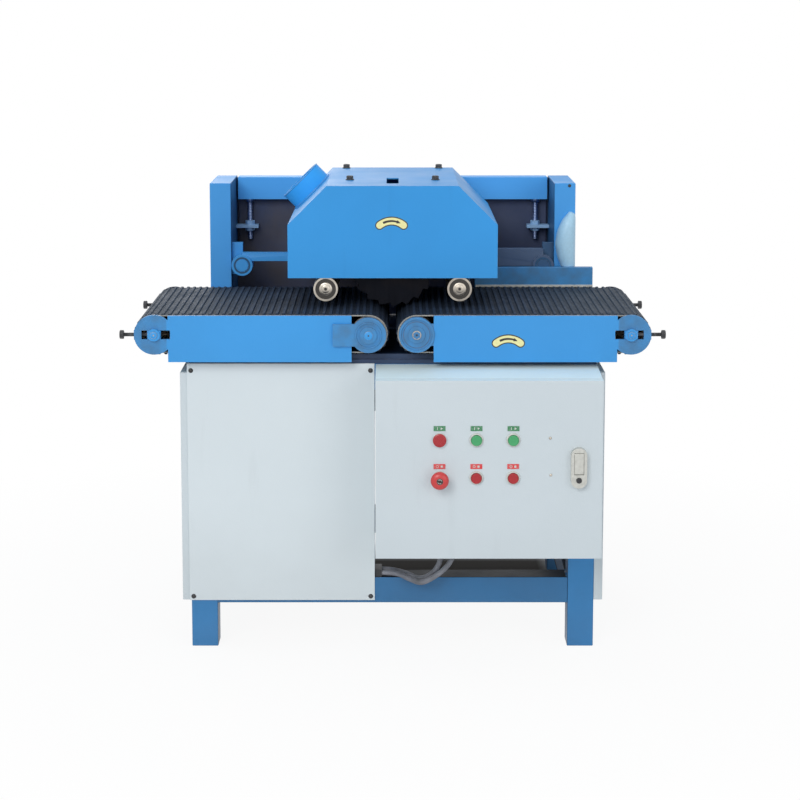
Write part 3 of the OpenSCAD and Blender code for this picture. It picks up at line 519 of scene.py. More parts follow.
def inner_side_shade(f):
    """Share of painted shade on the faces that look towards the middle, by normal and place."""
    return f.ramp(f.times(f.lean(0), f.axes[0]), -0.1, -0.3, 0.0, 0.65)


def inner_foot_shade(f):
    """Share of painted shade on the inner sides near the floor."""
    return f.times(inner_side_shade(f), f.ramp(f.axes[2], 0.34, 0.20))


def rear_rim_shade(f):
    """Share of painted shade along the upper rim of the rear conveyor plates."""
    return f.times(f.ramp(f.axes[1], 0.030, 0.034), f.ramp(f.axes[2], 0.762, 0.767))


def right_side_shade(f):
    """Share of painted shade on the pieces right of the middle."""
    return f.ramp(f.axes[0], 0.10, 0.12, 0.0, 0.8)


def belt_rubber(name, colour, end_dust_and_sheen, edge):
    """Ribbed rubber: dust on the rib tops, dust with a painted bluish sheen on the ends, rubbed streaks,
    fine grain and cut fabric edges.
    The fabric shows on the belt's sides up to the foot of the ribs, by distance from the rollers' axes."""
    f = Finish(name)
    rib_top = high("feed_belts")[2]
    mid, half = (IDLER_X + DRIVE_X) / 2, (IDLER_X - DRIVE_X) / 2
    out = f.size(f.axes[0])
    beyond = f.calc("SUBTRACT", f.size(f.calc("SUBTRACT", out, mid)), half)
    beyond = f.calc("POWER", f.calc("MAXIMUM", beyond, 0.0), 2.0)
    rise = f.calc("POWER", f.size(f.calc("SUBTRACT", f.axes[2], ROLLER_Z)), 2.0)
    fabric = f.ramp(f.calc("SQRT", f.calc("ADD", beyond, rise)), BELT_OUT, BELT_OUT - 0.0005)
    dust = f.ramp(f.noise(9, 5, (0.25, 1.0, 1.0)), 0.35, 0.7, 0.15, 0.6)
    top = f.ramp(f.axes[2], rib_top - 0.0022, rib_top - 0.0006)
    base = f.blend(f.times(top, dust), rgb(colour), rgb(colour, 3.0))
    # Dust with a painted bluish sheen towards the belts' ends
    base = f.blend(f.ramp(out, 0.30, 0.50, 0.0, 0.75), base, rgb(tint(end_dust_and_sheen)))
    cut = f.times(f.ramp(f.size(f.lean(1)), 0.85, 0.95), fabric)
    weave = f.blend(f.mottle(300, 3, 0.4, 0.6), rgb(tint(edge), 0.75), rgb(tint(edge), 1.1))
    base = f.blend(cut, base, weave)
    return f.done(base, (30, 3, 0.6, 0.8), (800, 3, 0.0004, 0.4), Specular_IOR_Level=0.3)


def worked_steel(name, colour, stretch, rough=0.34, stain=0.25):
    """Turned or ground steel: fine tool marks drawn out one way, with brownish handling stains."""
    f = Finish(name)
    marks = f.noise(60, 6, stretch)
    base = f.blend(f.ramp(marks, 0.3, 0.7), rgb(colour, 0.78), rgb(colour, 1.18))
    base = f.blend(f.mottle(14, 5, 0.5, 0.75, 0.0, stain), base, HANDLING_STAIN)
    f.set(Base_Color=base, Metallic=1.0, Roughness=f.ramp(marks, 0.25, 0.75, rough - 0.09, rough + 0.12))
    f.bump(marks, 0.0002, 0.25)
    return f.material


def cast_zinc(name, colour):
    """Die-cast and brushed zinc with a soft grain and rubbed edges."""
    f = Finish(name)
    base = f.blend(f.mottle(120, 4, 0.3, 0.7), rgb(colour, 0.9), rgb(colour, 1.08))
    base = f.blend(f.times(f.edges(0.0012), 0.5), base, rgb(colour, 1.35))
    return f.done(base, (90, 3, 0.32, 0.46), (900, 2, 0.0002, 0.2), Metallic=0.6)


def dark_plate(name, colour):
    """Rolled plate in thin dark paint with grey-brown dust patches."""
    f = Finish(name)
    base = f.blend(f.mottle(5.5, 5, 0.45, 0.68, 0.0, 0.75), rgb(colour), PLATE_DUST)
    base = f.blend(f.times(f.edges(0.002), 0.4), base, BARE_EDGE)
    return f.done(base, (20, 4, 0.5, 0.75), (260, 4, 0.0005, 0.35))


def moulded(name, colour, rough=0.3, coat=0.25, grain=600):
    """Moulded plastic: faint flow marks and a fine grain under a clear gloss."""
    f = Finish(name)
    base = f.blend(f.mottle(160, 3, 0.35, 0.65), rgb(colour, 0.965), rgb(colour, 1.03))
    base = f.blend(f.times(f.edges(0.0008), 0.22), base, rgb([0.3 + 0.7 * c for c in colour]))
    f.set(Coat_Weight=coat, Coat_Roughness=0.12)
    return f.done(base, (70, 3, rough - 0.05, rough + 0.08), (grain, 2, 0.0002, 0.25))


def cable_sheath(name, colour):
    """Rubber cable sheath or foam with dusty patches."""
    f = Finish(name)
    base = f.blend(f.mottle(40, 4, 0.35, 0.7), rgb(colour, 0.8), rgb(colour, 1.3))
    return f.done(base, (60, 3, 0.5, 0.68), (500, 3, 0.0003, 0.3))


def legend_print(name, green, red):
    """Engraved plastic strips: green above their middle height and red below it."""
    f = Finish(name)
    split = middle("legend_plates")[2]
    upper = f.ramp(f.axes[2], split - 0.001, split + 0.001)
    base = f.blend(upper, rgb(tint(red), 1.25), rgb(green, 0.62))
    base = f.blend(f.mottle(240, 3, 0.4, 0.7, 0.0, 0.25), base, RUBBED_PRINT)
    return f.done(base, (150, 2, 0.3, 0.42), (700, 2, 0.0001, 0.2))


# Distance from the middle beyond which the conveyor plates' ends turn a mottled grey-blue
GREY_ENDS_FROM = high("roller_bearings")[0] + 0.37
POWDER = dict(rough=0.48, tone=0.015, soil=0.25, scuff=0.2, peel=0.5)
TURNED, GROUND, SCREWED, ROLLED = (1.0, 9.0, 1.0), (0.05, 1.0, 1.0), (1.0, 0.06, 1.0), (1.0, 1.0, 0.1)

# Finishes by key: maker, name of the material, colour or its property, and the maker's settings
FINISHES = {
    "blue": (enamel, "blue_enamel", "blue", {}),
    # Dust port: a lighter copy of the blue, standing in for light on it
    "dust_port": (enamel, "blue_enamel_fresh", "blue", dict(gain=1.38, shine=0.12)),
    # Legs: painted shade near the floor and on their inner sides
    "legs": (enamel, "blue_enamel_base", "blue", dict(low=0.55, oil=inner_foot_shade)),
    # Head beam: a still lighter copy of the gantry blue, standing in for light on it
    "head_beam": (enamel, "blue_enamel_beam", "gantry", dict(gain=1.22, shine=0.1)),
    "line": (enamel, "blue_enamel_line", "blue", dict(gain=0.22, rough=0.5, soil=0.0, scuff=0.0)),
    # Lift lugs: paler blue painted highlight
    "lift_lugs": (enamel, "blue_enamel_lugs", "lug", {}),
    # Rails: a darker copy of the blue, with painted shade near the floor and on their inner sides
    "rails": (enamel, "blue_enamel_rails", "rail", dict(low=0.55, oil=inner_foot_shade)),
    "hood": (enamel, "blue_enamel_hood", "blue", dict(shine=0.28)),
    # Gantry posts: a lighter copy of the blue, with painted shade on their inner sides
    "gantry_posts": (enamel, "blue_enamel_posts", "gantry", dict(oil=inner_side_shade, shine=0.1)),
    # Arm brackets: painted shade on the right one
    "arm_brackets": (enamel, "blue_enamel_brackets", "blue", dict(oil=right_side_shade)),
    # Outfeed press arm: dark blue painted shade
    "outfeed_press_arm": (enamel, "blue_enamel_oily", "oily", dict(rough=0.45, tone=0.15)),
    # Conveyor plates: painted shade on the rear rim, grey-blue ends
    "conveyor_plates": (enamel, "blue_enamel_greasy_ends", "blue", dict(oil=rear_rim_shade, grime_and_shade_from=GREY_ENDS_FROM)),
    # Grease on the roller bearings, painted shade on the outfeed fence, a mottled grey-blue on the hub nut
    "worn": (enamel, "blue_enamel_greasy", "blue", dict(rough=0.42, grime_and_shade_from=0.0)),
    "left_cover": (enamel, "white_powder_coat", "white", POWDER),
    # Cabinet: painted highlight on its level faces
    "case": (enamel, "cabinet_powder_coat", "case", dict(POWDER, top="case_top")),
    # Deck plate: dark painted shade
    "deck_plate": (enamel, "deck_enamel", "deck", dict(rough=0.5, tone=0.2, scuff=0.2)),
    "iron": (enamel, "motor_enamel", "iron", dict(rough=0.5, tone=0.12, soil=0.1, scuff=0.25, peel=0.6)),
    "oxide": (enamel, "black_oxide", "oxide", dict(rough=0.42, tone=0.2, soil=0.0, scuff=0.3, peel=0.3)),
    "belt": (belt_rubber, "belt_rubber", "belt", dict(end_dust_and_sheen="belt_dust", edge="belt_edge")),
    "steel": (worked_steel, "turned_steel", "steel", dict(stretch=TURNED)),
    "conveyor_beds": (worked_steel, "ground_steel", "steel", dict(stretch=GROUND, rough=0.38, stain=0.35)),
    "screw": (worked_steel, "screw_steel", "lift", dict(stretch=SCREWED, rough=0.38, stain=0.05)),
    # Saw blades: near-black painted shade
    "saw_blades": (worked_steel, "blade_steel", "blade", dict(stretch=ROLLED, rough=0.45, stain=0.05)),
    "zinc": (cast_zinc, "cast_zinc", "zinc", {}),
    "plate": (dark_plate, "dark_plate", "plate", {}),
    "red": (moulded, "red_cap", "red", dict(rough=0.36, coat=0.08)),
    "emergency_stop": (moulded, "mushroom_red", "stop_red", dict(rough=0.34, coat=0.2)),
    "green": (moulded, "green_cap", "green", {}),
    "black": (moulded, "black_plastic", "oxide", dict(rough=0.5, coat=0.0, grain=400)),
    "pale": (moulded, "pale_cover", "pale", dict(rough=0.4, coat=0.1, grain=1400)),
    "label": (moulded, "label_yellow", "label", dict(rough=0.42, coat=0.0, grain=500)),
    "ink": (moulded, "label_ink", (0.03, 0.025, 0.02), dict(rough=0.5, coat=0.0, grain=500)),
    "mark": (moulded, "pale_mark", (0.62, 0.62, 0.58), dict(rough=0.45, coat=0.0, grain=500)),
    "button_bezels": (moulded, "bezel_plastic", (0.62, 0.62, 0.57), dict(rough=0.35, coat=0.15)),
    "gasket": (cable_sheath, "gasket_foam", (0.03, 0.03, 0.032), {}),
    "cable": (cable_sheath, "cable_sheath", "cable", {}),
    "legend_plates": (legend_print, "legend_strips", "green", dict(red="stop_red")),
}

# Finishes by the record's slot: the slot's usual one, then those of single pieces
SLOT_FINISHES = {
    "belt_rubber": "belt",
    "black_fasteners": "oxide",
    "black_plastic": "black ink gasket",
    "blue_paint": "blue legs worn outfeed_press_arm line",
    "cable_rubber": "cable",
    "dark_iron": "iron",
    "dark_steel": "plate",
    "green_plastic": "green",
    "pale_plastic": "pale mark label",
    "red_plastic": "red emergency_stop",
    "steel": "steel screw",
    "white_paint": "case",
    "zinc": "zinc button_bezels",
}
# Nodes whose finish has neither their own name nor their slot's usual one
SHARED = {
    "lock_button": "oxide",
    "roller_bearings": "worn",
    # The outfeed fence's grey-blue is painted shade
    "outfeed_fence": "worn",
    "left_lift_screw": "screw",
    "right_lift_screw": "screw",
}
MADE = {}


def slot_of(node):
    """The record's material slot of a CAD node."""
    return next(s["material_slot"] for s in frame["record"]["subparts"] if s["node"] == node)


def key_of(node):
    """Finish of a CAD node: its own, a shared one or its slot's usual one."""
    if node in FINISHES:
        return node
    return SHARED.get(node) or SLOT_FINISHES[slot_of(node)].split()[0]


def finish(key):
    """Material of a finish, made on its first use."""
    if key not in MADE:
        maker, name, colour, settings = FINISHES[key]
        MADE[key] = maker(name, tint(colour), **settings)
    return MADE[key]


# Places that several operators share, read from the frame
TUBE = 0.060
RAIL_HEIGHTS = (0.103, 0.600)
FRAME_FRONT = low("legs")[1]
FRAME_BACK = high("legs")[1]
LEG_INNER = high("rails")[0] - TUBE
PLATE_FRONT = FRAME_FRONT - 0.035
PLATE_BACK = PLATE_FRONT + 0.444
DOOR_FRONT = low("cabinet_door")[1]
HOOD_FRONT = low("hood")[1]
HOOD_BACK = HOOD_FRONT + 0.490
HOOD_TOP = high("hood")[2]
ROLLER_Z = middle("infeed_idler_roller")[2]
DRIVE_X = high("outfeed_drive_roller")[0] - 0.040
IDLER_X = middle("outfeed_idler_roller")[0]
BELT_OUT = 0.0433
BOSS = 0.026
PIVOT_X = high("outfeed_press_arm")[0] - BOSS
PIVOT_Z = low("arm_brackets")[2] + BOSS
ARM_FRONT = PLATE_BACK + 0.013
POST_LOW, POST_HIGH = low("gantry_posts"), high("gantry_posts")
POST_INNER = POST_HIGH[0] - 0.052


def linked(name, data):
    """Object for data, put into the scene."""
    obj = bpy.data.objects.new(name, data)
    bpy.context.scene.collection.objects.link(obj)
    return obj


def lamp(name, place, aim, size, watts, colour=(1, 1, 1)):
    """Soft square lamp that faces a point."""
    data = bpy.data.lights.new(name, "AREA")
    data.size, data.energy, data.color = size, watts, colour
    obj = linked(name, data)
    obj.location = place
    obj.rotation_euler = (Vector(aim) - Vector(place)).to_track_quat("-Z", "Y").to_euler()


def seen_white(tree, shade, amount, kind, output):
    """Mixes a shader with plain white where the camera, gloss or glass looks at it, and shows it."""
    path = add(tree, "LightPath").outputs
    seen = path["Is Camera Ray"]
    for other in ("Is Glossy Ray", "Is Transmission Ray"):
        seen = add(tree, "Math", {0: seen, 1: path[other]}, operation="MAXIMUM").outputs[0]
    share = add(tree, "Math", {0: seen, 1: amount}, operation="MULTIPLY").outputs[0]
    white = add(tree, kind, {"Color": (1, 1, 1, 1), "Strength": 1.0}).outputs[0]
    mixed = add(tree, "MixShader", {0: share, 1: shade, 2: white}).outputs[0]
    tree.links.new(mixed, tree.nodes[output].inputs["Surface"])


class RIPSAW_OT_stage(bpy.types.Operator):
    """White studio: floor with a soft shadow, sky, lamps and the camera"""

    bl_idname = "rip_saw.stage"
    bl_label = "Stage"

    floor_half = 9.0
    shadow = (0.033, 0.030, 0.027, 1)
    sky = (0.86, 0.93, 1.0, 1)
    sky_strength = 0.52
    camera_place = (0.0, -4.8115, 1.4858)
    camera_dip = 7.62

    def execute(self, context):
        context.scene.view_settings.view_transform = "Standard"
        self.floor()
        world = bpy.data.worlds.new("studio_sky")
        world.use_nodes = True
        sky = world.node_tree.nodes["Background"]
        sky.inputs["Color"].default_value = self.sky
        sky.inputs["Strength"].default_value = self.sky_strength
        seen_white(world.node_tree, sky.outputs[0], 1.0, "Background", "World Output")
        context.scene.world = world

        lamp("key", (-2.4, -6.4, 4.2), (0, -0.2, 0.75), 3.6, 236)
        lamp("fill", (4.0, -6.2, 2.4), (0, -0.2, 0.75), 3.6, 72)
        lamp("top", (0.2, 0.0, 3.8), (0, 0, 0.9), 2.4, 10, (0.92, 0.96, 1.0))
        lamp("rear", (-1.2, 3.2, 2.6), (0, 0.2, 0.8), 2.4, 34)

        cam = bpy.data.cameras.new("camera")
        cam.lens, cam.sensor_width = 90.0, 36.0
        cam.shift_x, cam.shift_y = 0.00923, -0.17186
        cam.dof.use_dof = False
        cam.clip_end = 60
        obj = linked("camera", cam)
        obj.location = self.camera_place
        obj.rotation_euler = (math.radians(90 - self.camera_dip), 0, 0)
        context.scene.camera = obj
        return {"FINISHED"}

    def floor(self):
        """Square floor, white to the eye further out, with a soft dark patch under the machine's rear."""
        s = self.floor_half
        mesh = bpy.data.meshes.new("studio_floor")
        mesh.from_pydata([(-s, -s, 0), (s, -s, 0), (s, s, 0), (-s, s, 0)], [], [[0, 1, 2, 3]])
        f = Finish("studio_floor")
        tone = f.blend(f.noise(3, 2), (0.78, 0.78, 0.78, 1), (0.82, 0.82, 0.82, 1))
        along = f.times(f.ramp(f.axes[1], 0.06, 0.18), f.ramp(f.axes[1], 0.54, 0.33))
        under = f.times(f.ramp(f.size(f.axes[0]), 0.54, 0.38), along)
        f.set(Base_Color=f.blend(under, tone, self.shadow), Roughness=0.9, Specular_IOR_Level=0.1)
        reach = add(f.tree, "VectorMath", {0: f.place}, operation="LENGTH").outputs["Value"]
        bare = f.calc("POWER", f.calc("SUBTRACT", 1.0, under), 2.0)
        clear = f.times(f.ramp(reach, 0.5, 1.7, 0.92, 1.0), bare)
        seen_white(f.tree, f.shader.outputs[0], clear, "Emission", "Material Output")
        mesh.materials.append(f.material)
        linked("studio_floor", mesh)


def smooth_route(points, per):
    """Smooth curve through given points: cubic between each pair, steered by the points beside it."""
    p = np.asarray(points, float)
    around = (np.vstack([p[:1], p[:-2]]), p[:-1], p[1:], np.vstack([p[2:], p[-1:]]))
    a, b, c, d = (q[:, None] for q in around)
    t = (np.arange(per) / per)[None, :, None]
    curve = b + (c - a) * t / 2 + (a * 2 - b * 5 + c * 4 - d) * t**2 / 2 + (b * 3 - a - c * 3 + d) * t**3 / 2
    return np.vstack([curve.reshape(-1, 3), p[-1:]])


class RIPSAW_OT_cables(bpy.types.Operator):
    """Two control cables that hang from the clamp on the centre post to the cabinet's glands"""

    bl_idname = "rip_saw.cables"
    bl_label = "Cables"

    # Routes as in the source: X, distance behind the frame's front plane, Z, in millimetres
    routes = {
        "cable_to_left_gland": [[-25, 40, 170.5], [0, 34, 170.5], [26, 12, 170.5], [40, -4, 169.8],
                                [58, -16, 166], [80, -28, 174], [100, -42, 197], [112, -55, 232]],
        "cable_to_right_gland": [[-25, 12, 170.5], [4, 6, 170.5], [20, -4, 169.8], [38, -18, 165],
                                 [66, -40, 163], [98, -51, 182], [124, -54, 206], [138, -55, 232]],
    }
    radius = 0.006

    def execute(self, context):
        for name, route in self.routes.items():
            path = smooth_route(np.array(route) / 1000 + [0, FRAME_FRONT, 0], 5)
            sheath = carried(path, ring(self.radius, 16), Y_AXIS)
            obj = piece(name, [sheath], "cable", "base", "control_cables")
        return {"FINISHED"}


class RIPSAW_OT_paint(bpy.types.Operator):
    """Finish of every CAD node, with eased edges on sheet, tube and castings"""

    bl_idname = "rip_saw.paint"
    bl_label = "Paint"

    # Nodes by their edge radius in shares of the fold radius
    eased = {
        1.2: "legs rails gantry_posts head_beam",
        1.0: "deck_plate conveyor_plates roller_bearings lift_lugs arm_brackets outfeed_fence hood "
        "infeed_press_arm outfeed_press_arm head_plate feed_motor",
        1.6: "lock_body lock_lever",
        0.6: "left_cover side_trays cabinet_body cabinet_door infeed_take_up outfeed_take_up "
        "main_motor contactors contact_blocks door_hinges",
    }

    def execute(self, context):
        for node, obj in NODES.items():
            obj.data.materials.clear()
            obj.data.materials.append(finish(key_of(node)))
        for share, names in self.eased.items():
            for node in names.split():
                eased_copy(node, share * context.scene.rip_saw_detail.fold)
        return {"FINISHED"}


class RIPSAW_OT_controls(bpy.types.Operator):
    """Caps, lamp, mushroom stop, bezels, legend marks and the door's small screws"""

    bl_idname = "rip_saw.controls"
    bl_label = "Controls"

    caps = ("start_button_1", "start_button_2", "stop_button_1", "stop_button_2")
    cap = mm((0, 9.3), (6, 9.4), (9.2, 9.7), (10.4, 10.0), (11.2, 9.7), (11.7, 9.0), (11.7, 5.0), (8.8, 5.0),
             (8.8, -19), (0, -19))
    lens = mm((0, 10.0), (2.6, 9.98), (3.0, 9.7), (5.6, 9.8), (6.0, 9.45), (8.6, 9.5), (9.0, 9.1),
              (11.6, 9.0), (12.0, 8.6), (13.8, 8.2), (14.9, 7.5), (15.0, 6.2), (8.8, 6.2), (8.8, -19),
              (0, -19))
    mushroom = mm((0, 37.5), (7.6, 37.5), (8.0, 38.0), (11, 37.7), (14.5, 36.6), (17.4, 34.8), (19.2, 32.4),
                  (20, 29.6), (20, 27.8), (19.2, 26.6), (17, 26.1), (11, 26.0), (10.2, 25), (9.6, 14),
                  (8.8, 10), (8.8, -19), (0, -19))
    disc = mm((0, 37.8), (6.6, 37.8), (7.2, 37.5), (0, 37.45))
    bezel = mm((12.1, 1.5), (12.1, 5.0), (12.5, 5.8), (13.2, 6.0), (14.0, 5.6), (14.9, 4.2), (15.4, 2.2),
               (15.5, 0), (11, 0), (11, -25), (9.1, -25), (9.1, 1.5))
    screw = mm((0, 1.9), (1.6, 1.8), (2.7, 1.2), (3.2, 0.3), (3.2, 0), (0, 0))
    door_screws = ((0.346, 0.522), (0.348, 0.439))
    legend_shift = (0, -0.0010, 0.0255)
    print_depth = 0.00025
    disc_height = 0.0378

    def execute(self, context):
        sides = context.scene.rip_saw_detail.sides
        lamp_spot, stop = self.at("power_lamp"), self.at("emergency_stop")
        spots = [*map(self.at, self.caps), lamp_spot, stop]
        for node, spot in zip(self.caps, spots):
            body = NODES[node]["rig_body"]
            lathed(node + "_cap", self.cap, [spot], FRONT, sides, key_of(node), body, node=node)
        lathed("lamp_lens", self.lens, [lamp_spot], FRONT, sides, "red", "door", node="power_lamp", angle=25)
        node = "emergency_stop"
        lathed("mushroom_head", self.mushroom, [stop], FRONT, sides, node, "estop", node=node)
        lathed("mushroom_disc", self.disc, [stop], FRONT, 40, "ink", "estop")
        arrows = [self.arrow(stop + self.disc_height * FRONT, k * math.pi) for k in (0, 1)]
        piece("mushroom_arrows", arrows, "mark", "estop")
        node = "button_bezels"
        lathed("bezel_rings", closed(self.bezel), spots, FRONT, sides, node, "door", node=node)
        marks = []
        for spot in spots:
            upper = spot[2] > middle("legend_plates")[2]
            marks += (self.run_marks if upper else self.stop_marks)(spot + self.legend_shift)
        piece("legend_marks", marks, "mark", "door")
        spots = [[x, DOOR_FRONT, z] for x, z in self.door_screws]
        lathed("door_screw_heads", self.screw, spots, FRONT, 28, "steel", "door", slot="zinc")
        return {"FINISHED"}

    def at(self, node):
        """Middle of a control on the door's front plane."""
        x, _, z = middle(node)
        return np.array([x, DOOR_FRONT, z])

    def arrow(self, origin, turn):
        """Half of a turning sign: a flat arc that widens into a head."""
        k = np.arange(14)
        half = np.where(k < 10, 0.0005, (0.0012 * (13 - k) / 3).clip(0.0002))
        return decal(arc_ribbon(np.linspace(0.35, 2.35, 14) + turn, 0.0045, half), origin, 0.0002)

    def run_marks(self, here):
        """Upright bar and a pointer, pale on the strip."""
        bar = rounded(0.0014, 0.0062, 0.0006) - [0.0045, 0]
        pointer = mm((2.5, -2.8), (7.2, 0), (2.5, 2.8))
        return [decal(outline, here, self.print_depth) for outline in (bar, pointer)]

    def stop_marks(self, here):
        """Open ring and a square, pale on the strip."""
        square = rounded(0.0046, 0.0046, 0.0004) + [0.0048, 0]
        loop = turned(band(2.1, 3.0, 0.25), here - [0.0048, 0, 0], FRONT, 28)
        return [loop, decal(square, here, self.print_depth)]


class RIPSAW_OT_fasteners(bpy.types.Operator):
    """Cover screws, hood bolts, threaded lift screws and tension bolts"""

    bl_idname = "rip_saw.fasteners"
    bl_label = "Fasteners"

    pan_head = mm((0, 2.9), (2.2, 2.75), (4.0, 2.15), (5.1, 1.1), (5.5, 0.2), (5.5, 0), (2.5, 0), (2.5, -3),
                  (0, -3))
    washer = closed(mm((4, 0), (10, 0), (10, 1.6), (9.6, 2.0), (4, 2.0)))
    hood_hex = mm((0, 9.6), (4.8, 9.6), (5.2, 10.0), (6.4, 10.0), (8.0, 9.1), (8.0, 2.0), (4, 2.0), (4, -3),
                  (0, -3))
    collar = mm((7, 0), (10.2, 0), (11, 0.8), (11, 8), (5, 8), (5, 17.4), (4.4, 18), (0, 18), (0, 0))
    hood_flats, bolt_flats = 0.0138, 0.0173
    hood_bolts = ((-0.100, HOOD_FRONT + 0.150), (0.100, HOOD_FRONT + 0.150),
                  (-0.115, HOOD_BACK - 0.020), (0.115, HOOD_BACK - 0.020))

    def execute(self, context):
        detail = context.scene.rip_saw_detail
        self.cover_screws()
        parts = []
        for x, y in self.hood_bolts:
            foot = [x, y, HOOD_TOP]
            parts.append(turned(self.washer, foot, Z_AXIS, 32))
            parts.append(turned(self.hood_hex, foot, Z_AXIS, 48, hexagon(self.hood_flats)))
        piece("hood_hex_bolts", parts, "oxide", "head", "hood_bolts")
        self.lift_screws(detail.screw_pitch)
        self.tension_bolts(detail.bolt_pitch)
        return {"FINISHED"}

    def cover_screws(self):
        """Pan heads with a cross recess at the corners of the left cover."""
        lo, hi = low("cover_screws") + 0.0055, high("cover_screws") - 0.0055
        spots = [np.array([x, FRAME_FRONT - 0.003, z]) for x in (lo[0], hi[0]) for z in (lo[2], hi[2])]
        lathed("cover_pan_heads", self.pan_head, spots, FRONT, 32, "oxide", "base", node="cover_screws")
        cross = [rounded(0.0046, 0.0009, 0.0003), rounded(0.0009, 0.0046, 0.0003)]
        slots = [decal(c, s - [0, 0.0026, 0], 0.00035) for s in spots for c in cross]
        piece("cover_screw_recesses", slots, "ink", "base", slot="black_fasteners")

    def shank(self, radius, depth, start, lead, end, rows):
        """Profile of a threaded shank between two heights: a lead-in, then rows of points for the flanks."""
        flank = [(radius, h) for h in np.linspace(start + lead, end, int(rows))]
        return [(0, start), (radius - depth, start), *flank, (0, end)]

    def lift_screws(self, pitch):
        """Threaded shaft, thrust collar and plain pin of each lift screw."""
        radius, depth = 0.007, 0.0011
        for side in ("left", "right"):
            node = side + "_lift_screw"
            foot, top = middle(node), high(node)[2]
            foot[2] = low(node)[2]
            shaft = top - 0.018 - foot[2]
            profile = self.shank(radius, depth, 0, 0.0006, shaft, shaft / pitch * 10)
            parts = [turned(profile, foot, Z_AXIS, 36, thread(pitch, depth)),
                     turned(self.collar + [0, shaft], foot, Z_AXIS, 40)]
            piece(side + "_screw_thread", parts, "screw", side + "_screw", node, angle=60)

    def tension_bolts(self, pitch):
        """Threaded bolts with hexagon heads in the tapped lugs behind the side plates."""
        radius, depth = 0.0045, 0.0007
        start, end, tip = 0.015, 0.068, 0.077
        profile = self.shank(radius, depth, start, 0.0004, end, (end - start) / pitch * 7)
        head = [(0, end), (0.0092, end), (0.010, end + 0.0008), (0.010, tip - 0.001), (0.0086, tip),
                (0, tip)]
        parts = []
        for side in (-1, 1):
            for y in (PLATE_FRONT + 0.006, PLATE_BACK - 0.006):
                axis, centre = side * X_AXIS, [side * IDLER_X, y, ROLLER_Z]
                parts += [turned(profile, centre, axis, 24, thread(pitch, depth)),
                          turned(head, centre, axis, 48, hexagon(self.bolt_flats))]
        piece("tension_bolt_threads", parts, "oxide", "base", "tension_bolts", angle=50)


def bead(start, end, radius):
    """Weld bead: a round section carried along a line, with a ripple every three millimetres or so."""
    start, end = np.asarray(start, float), np.asarray(end, float)
    length = np.linalg.norm(end - start)
    t = np.linspace(0, 1, max(6, int(length / 0.0016)))
    swell = 1 + 0.16 * np.sin(t * length / 0.0032 * TURN) * (t > 0) * (t < 1)
    taper = np.minimum(1, 0.35 + 12 * np.minimum(t, 1 - t))
    section = ring(radius, 8)[None] * (swell * taper)[:, None, None]
    return carried(start + (end - start) * t[:, None], section, Z_AXIS)


class RIPSAW_OT_welds(bpy.types.Operator):
    """Weld beads of the base frame, the posts and the dust port"""

    bl_idname = "rip_saw.welds"
    bl_label = "Welds"

    end_gap = 0.004
    port_foot = np.array([-0.1945, HOOD_FRONT + 0.320, HOOD_TOP - 0.0445])

    def execute(self, context):
        radius = context.scene.rip_saw_detail.weld
        parts, gap = [], self.end_gap
        heights = (RAIL_HEIGHTS[0], RAIL_HEIGHTS[0] + TUBE, RAIL_HEIGHTS[1])
        for side in (-1, 1):
            inner, outer = side * LEG_INNER, side * (LEG_INNER + TUBE)
            for y in (FRAME_FRONT, FRAME_BACK - TUBE):
                ends = y + gap, y + TUBE - gap
                parts += [bead(*([inner, e, z] for e in ends), radius) for z in heights]
            for y in (FRAME_FRONT + TUBE, FRAME_BACK - TUBE):
                ends = inner + side * gap, outer - side * gap
                parts += [bead(*([e, y, z] for e in ends), radius) for z in heights]
            parts += self.post_foot(side, radius)
        piece("frame_weld_beads", parts, "legs", "base")
        self.port_bead(radius)
        return {"FINISHED"}

    def post_foot(self, side, radius):
        """Beads round the foot of a gantry post on the deck."""
        (x1, x2), z = (side * POST_INNER, side * POST_HIGH[0]), POST_LOW[2] + 0.0005
        y1, y2 = POST_LOW[1], POST_HIGH[1]
        corners = [[x1, y1, z], [x2, y1, z], [x2, y2, z], [x1, y2, z]]
        return [bead(corners[k - 1], corners[k], radius) for k in (1, 2, 3, 0)]

    def port_bead(self, radius):
        """Ring bead at the spigot's foot and the rolled lip at its mouth."""
        axis = np.array([-1, 0, 1]) / math.sqrt(2)
        foot = closed(ring(0.8 * radius, 8) + [0.0556, 0.001])
        lip = closed(ring(0.0019, 12) + [0.0538, 0.0405])
        parts = [turned(foot, self.port_foot, axis, 256, lambda a, r, h: r + 0.0004 * np.sin(64 * a)),
                 turned(lip, self.port_foot, axis, 96)]
        piece("port_bead_and_lip", parts, "blue", "head")


